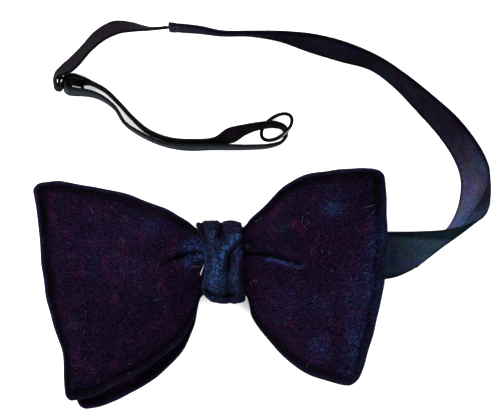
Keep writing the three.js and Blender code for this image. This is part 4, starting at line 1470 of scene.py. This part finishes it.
def satin():
    """Woven polyester satin: smooth floats along the ribbon that catch the light in one
    direction. The face is a grey teal and the back dark plum, with a painted lavender sheen on the
    back just past the fold and near the band's end."""
    material = new_material("woven_polyester_satin")
    tree = material.node_tree
    lay = node(tree, "UVMap", uv_map="lay")[0]
    coords = node(tree, "TexCoord")["Object"]
    along, across, _ = node(tree, "SeparateXYZ", {0: lay})
    x = node(tree, "SeparateXYZ", {0: coords})[0]
    back = node(tree, "Attribute", attribute_name="back")["Fac"]
    patches = grain(tree, coords, "satin_patches")
    face = layered(tree, "#16212b", (patches, "#192637"))
    painted_fold_sheen = layered(tree, "#363851", (patches, "#3a4160"))
    inner = layered(tree, "#120e17", (patches, "#11131f"))
    # Painted lavender sheen on the back past the fold, fading to its own plum, and a painted paler
    # sheen near the band's end
    start, end = FOLD_END * MM, (FOLD_END + FOLD_SHEEN_FADE) * MM
    away = node(tree, "MapRange", {"Value": along, "From Min": start, "From Max": end})[0]
    start, end = (reach * MM for reach in BAND_END_SHEEN)
    end_sheen = node(tree, "MapRange", {"Value": x, "From Min": start, "From Max": end})[0]
    back_with_sheen = layered(tree, painted_fold_sheen, (away, inner), (end_sheen, "#27273a"))
    # The warp is 0.1 mm apart; its broken light is drawn at 0.5 mm so that it shows
    broken = grain(tree, lay, "satin_broken_light")
    drawn_out = node(tree, "Mapping", {"Vector": lay, "Scale": (1, 0.06, 1)})[0]
    floats = grain(tree, drawn_out, "satin_floats")
    weave = node(tree, "Math", {0: floats, 1: broken}, operation="ADD")[0]
    inputs = {"Value": weave, "From Max": 2.0, "To Min": 0.35, "To Max": 1.5}
    weave = node(tree, "MapRange", inputs)[0]
    colour = layered(tree, face, (back, back_with_sheen))
    colour = layered(tree, colour, (1.0, weave), blend="MULTIPLY")
    # The warp and the weft are not quite one colour, so the cloth shows plum and teal by turns
    colour = dyed_unevenly(tree, coords, colour, size=5.56, detail=6)
    # The floats' ends are 0.2 mm apart; their glitter is drawn at 0.45 mm so that it shows
    glitter = grain(tree, coords, "satin_glitter")
    glitter = node(tree, "MapRange", {"Value": glitter, "To Min": 0.6, "To Max": 1.4})[0]
    edges = edge_shade(tree, across, BAND_WIDTH, reach=2.4, darkest=0.3)
    inputs = {
        "Base Color": layered(tree, colour, (1.0, glitter), (1.0, edges), blend="MULTIPLY"),
        "Roughness": 0.62,
        "Metallic": 0.3,
        "Specular IOR Level": 0.0,
        "Specular Tint": "#000000",
        "Anisotropic": 0.25,
        "Tangent": node(tree, "Tangent", direction_type="UV_MAP", uv_map="lay")[0],
    }
    return with_shader(material, inputs, floats, strength=0.25, depth=0.04)


def woven_tape():
    """Ribbed polyester tape: plum black inside, greyer on the side that rubs, with cross ribs
    that vary with the weft and a dark dense selvedge."""
    material = new_material("woven_polyester_tape")
    tree = material.node_tree
    lay = node(tree, "UVMap", uv_map="lay")[0]
    across = node(tree, "SeparateXYZ", {0: lay})[1]
    outside = node(tree, "Attribute", attribute_name="back")["Fac"]
    warp = grain(tree, lay, "tape_patches")
    inside = layered(tree, "#0e090e", (warp, "#0c0c10"))
    worn_face = layered(tree, "#1e262c", (warp, "#24272d"))
    # The ribs are 0.4 mm apart; drawn at 0.8 mm so that they show
    scale = 1 / (DRAWN_RIB_PITCH * MM) / BANDS_PER_SCALE
    inputs = {"Vector": lay, "Scale": scale, "Distortion": 4.0, "Detail": 3.0}
    ribs = node(tree, "TexWave", inputs, bands_direction="X")["Fac"]
    fibres = grain(tree, lay, "tape_fibres")
    weave = node(tree, "Math", {0: ribs, 1: fibres}, operation="ADD")[0]
    inputs = {"Value": weave, "From Max": 2.0, "To Min": 0.45, "To Max": 1.5}
    shade = node(tree, "MapRange", inputs)[0]
    selvedge = edge_shade(tree, across, TAPE_WIDTH, reach=1.1, darkest=0.3)
    colour = layered(tree, inside, (outside, worn_face))
    colour = layered(tree, colour, (1.0, shade), (1.0, selvedge), blend="MULTIPLY")
    inputs = {"Base Color": colour, "Roughness": 0.85, "Specular IOR Level": 0.02}
    return with_shader(material, inputs, weave, strength=0.3, depth=0.05)


def black_wire():
    """Steel under black lacquer: near black and dulled by handling, with a painted glint on the
    ring's outer side, made as a patch of bright bare steel."""
    material = new_material("lacquered_steel")
    tree = material.node_tree
    coords = node(tree, "TexCoord")["Object"]
    # Painted glint: bright bare steel near one place, on the side of the wire that faces one way
    level = node(tree, "Mapping", {"Vector": coords, "Scale": (1, 1, 0)})[0]
    inputs = {0: level, 1: Vector((GLINT_SPOT_X, GLINT_SPOT_Y, 0)) * MM}
    away = node(tree, "VectorMath", inputs, operation="DISTANCE")[1]
    start, end = (reach * MM for reach in GLINT_REACH)
    inputs = {"Value": away, "From Min": start, "From Max": end}
    close_by = node(tree, "MapRange", inputs)[0]
    normal = node(tree, "NewGeometry")["Normal"]
    facing = node(tree, "VectorMath", {0: normal, 1: GLINT_SIDE}, operation="DOT_PRODUCT")[1]
    inputs = {"Value": facing, "From Min": GLINT_FACING[0], "From Max": GLINT_FACING[1]}
    outside = node(tree, "MapRange", inputs)[0]
    ring_glint = node(tree, "Math", {0: close_by, 1: outside}, operation="MULTIPLY")[0]
    handled = grain(tree, coords, "lacquer_wear")
    inputs = {
        "Base Color": layered(tree, "#050406", (ring_glint, "#9a98a1")),
        "Metallic": 1.0,
        "Roughness": node(tree, "MapRange", {"Value": handled, "To Min": 0.22, "To Max": 0.4})[0],
        "Specular Tint": "#000000",
        "Coat Weight": 0.02,
    }
    return with_shader(material, inputs, handled, strength=0.15, depth=0.03)


def thread(name, colour, roughness):
    """Spun fibre: matt, with lighter and darker stretches."""
    material = new_material(name)
    tree = material.node_tree
    shade = grain(tree, node(tree, "TexCoord")["Object"], "thread_shade")
    shade = node(tree, "MapRange", {"Value": shade, "To Min": 0.7, "To Max": 1.2})[0]
    inputs = {
        "Base Color": layered(tree, colour, (1.0, shade), blend="MULTIPLY"),
        "Roughness": roughness,
        "Sheen Weight": 0.05,
        "Specular IOR Level": 0.1,
    }
    return with_shader(material, inputs)


def paper():
    """Plain white table top."""
    inputs = {
        "Base Color": "#fdfdfd",
        "Roughness": 0.95,
        "Emission Color": "#ffffff",
        "Emission Strength": 0.3,
    }
    return with_shader(new_material("matt_white_table"), inputs)


def studio():
    """The floor, the light and a camera straight above, as the photograph was taken."""
    scene = bpy.context.scene
    bm = bmesh.new()
    bmesh.ops.create_grid(bm, x_segments=1, y_segments=1, size=1.5)
    staged = [placed("table", meshed("table", bm))]
    staged[0].data.materials.append(paper())
    for row in LIGHTS:
        data = bpy.data.lights.new(row["name"], "AREA")
        data.shape = "SQUARE"
        data.size = row["size"]
        data.energy = row["watts"]
        light = placed(row["name"], data)
        light.location = spot(row)
        light.rotation_euler = (LIT_PLACE - light.location).to_track_quat("-Z", "Y").to_euler()
        staged.append(light)
    scene.world = bpy.data.worlds.new("room")
    scene.world.use_nodes = True
    background = scene.world.node_tree.nodes["Background"].inputs
    background["Color"].default_value = linear("#ffffff")
    background["Strength"].default_value = ROOM_LIGHT
    scene.view_settings.view_transform = "Standard"
    data = bpy.data.cameras.new("camera")
    data.sensor_width = CAMERA_SENSOR
    data.lens = CAMERA_LENS
    data.clip_end = CAMERA_SEES
    scene.camera = placed("camera", data)
    scene.camera.location = CAMERA_PLACE


pile, rubbed_pile = (velvet(**row) for row in VELVETS)
ribbon_satin = satin()
tape_weave = woven_tape()
metal = black_wire()
seam_thread = thread("spun_silk_seam_thread", "#06070d", 0.7)
tape_thread = thread("polyester_sewing_thread", "#101015", 0.6)
lint_fibre = thread("cotton_lint", "#343944", 0.9)

back = butterfly(BACK_WINGS, pile)
front = butterfly(FRONT_WINGS, pile)
wrap = knot(rubbed_pile)

band_mesh, band_length = ribbon(
    BAND_LEAD_IN + BAND_ROLL + BAND_LOOP,
    BAND_HALF_THICKNESS,
    BAND_STEPS_PER_SECTION,
    BAND_STEPS_ACROSS,
    band_relief,
)
band = finished("neck_band_satin", band_mesh, ribbon_satin, ["neck_band"])

tape_rows = [leaning_row(row) for row in TAPE_FEED]
tape_rows += [threaded_row(row) for row in TAPE_THREADING]
tape_rows += [leaning_row(row) for row in TAPE_LOOP]
tape_rows += [threaded_row(row) for row in TAPE_SEWN_END]
tape_mesh, tape_length = ribbon(
    tape_rows, TAPE_HALF_THICKNESS, TAPE_STEPS_PER_SECTION, TAPE_STEPS_ACROSS, tape_relief
)
finished("adjuster_tape_weave", tape_mesh, tape_weave, ["adjuster_tape"])
slider(metal)
ring(metal)
wing_stitching(seam_thread)
ribbon_stitching(tape_thread)
frayed_end(tape_thread)
outer_faces = surface_of([front, back, wrap])
lint(outer_faces, lint_fibre)
lining_sliver(outer_faces, thread("cotton_lining", "#909097", 0.8))
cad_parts["hook"].data.materials.clear()
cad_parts["hook"].data.materials.append(metal)

studio()
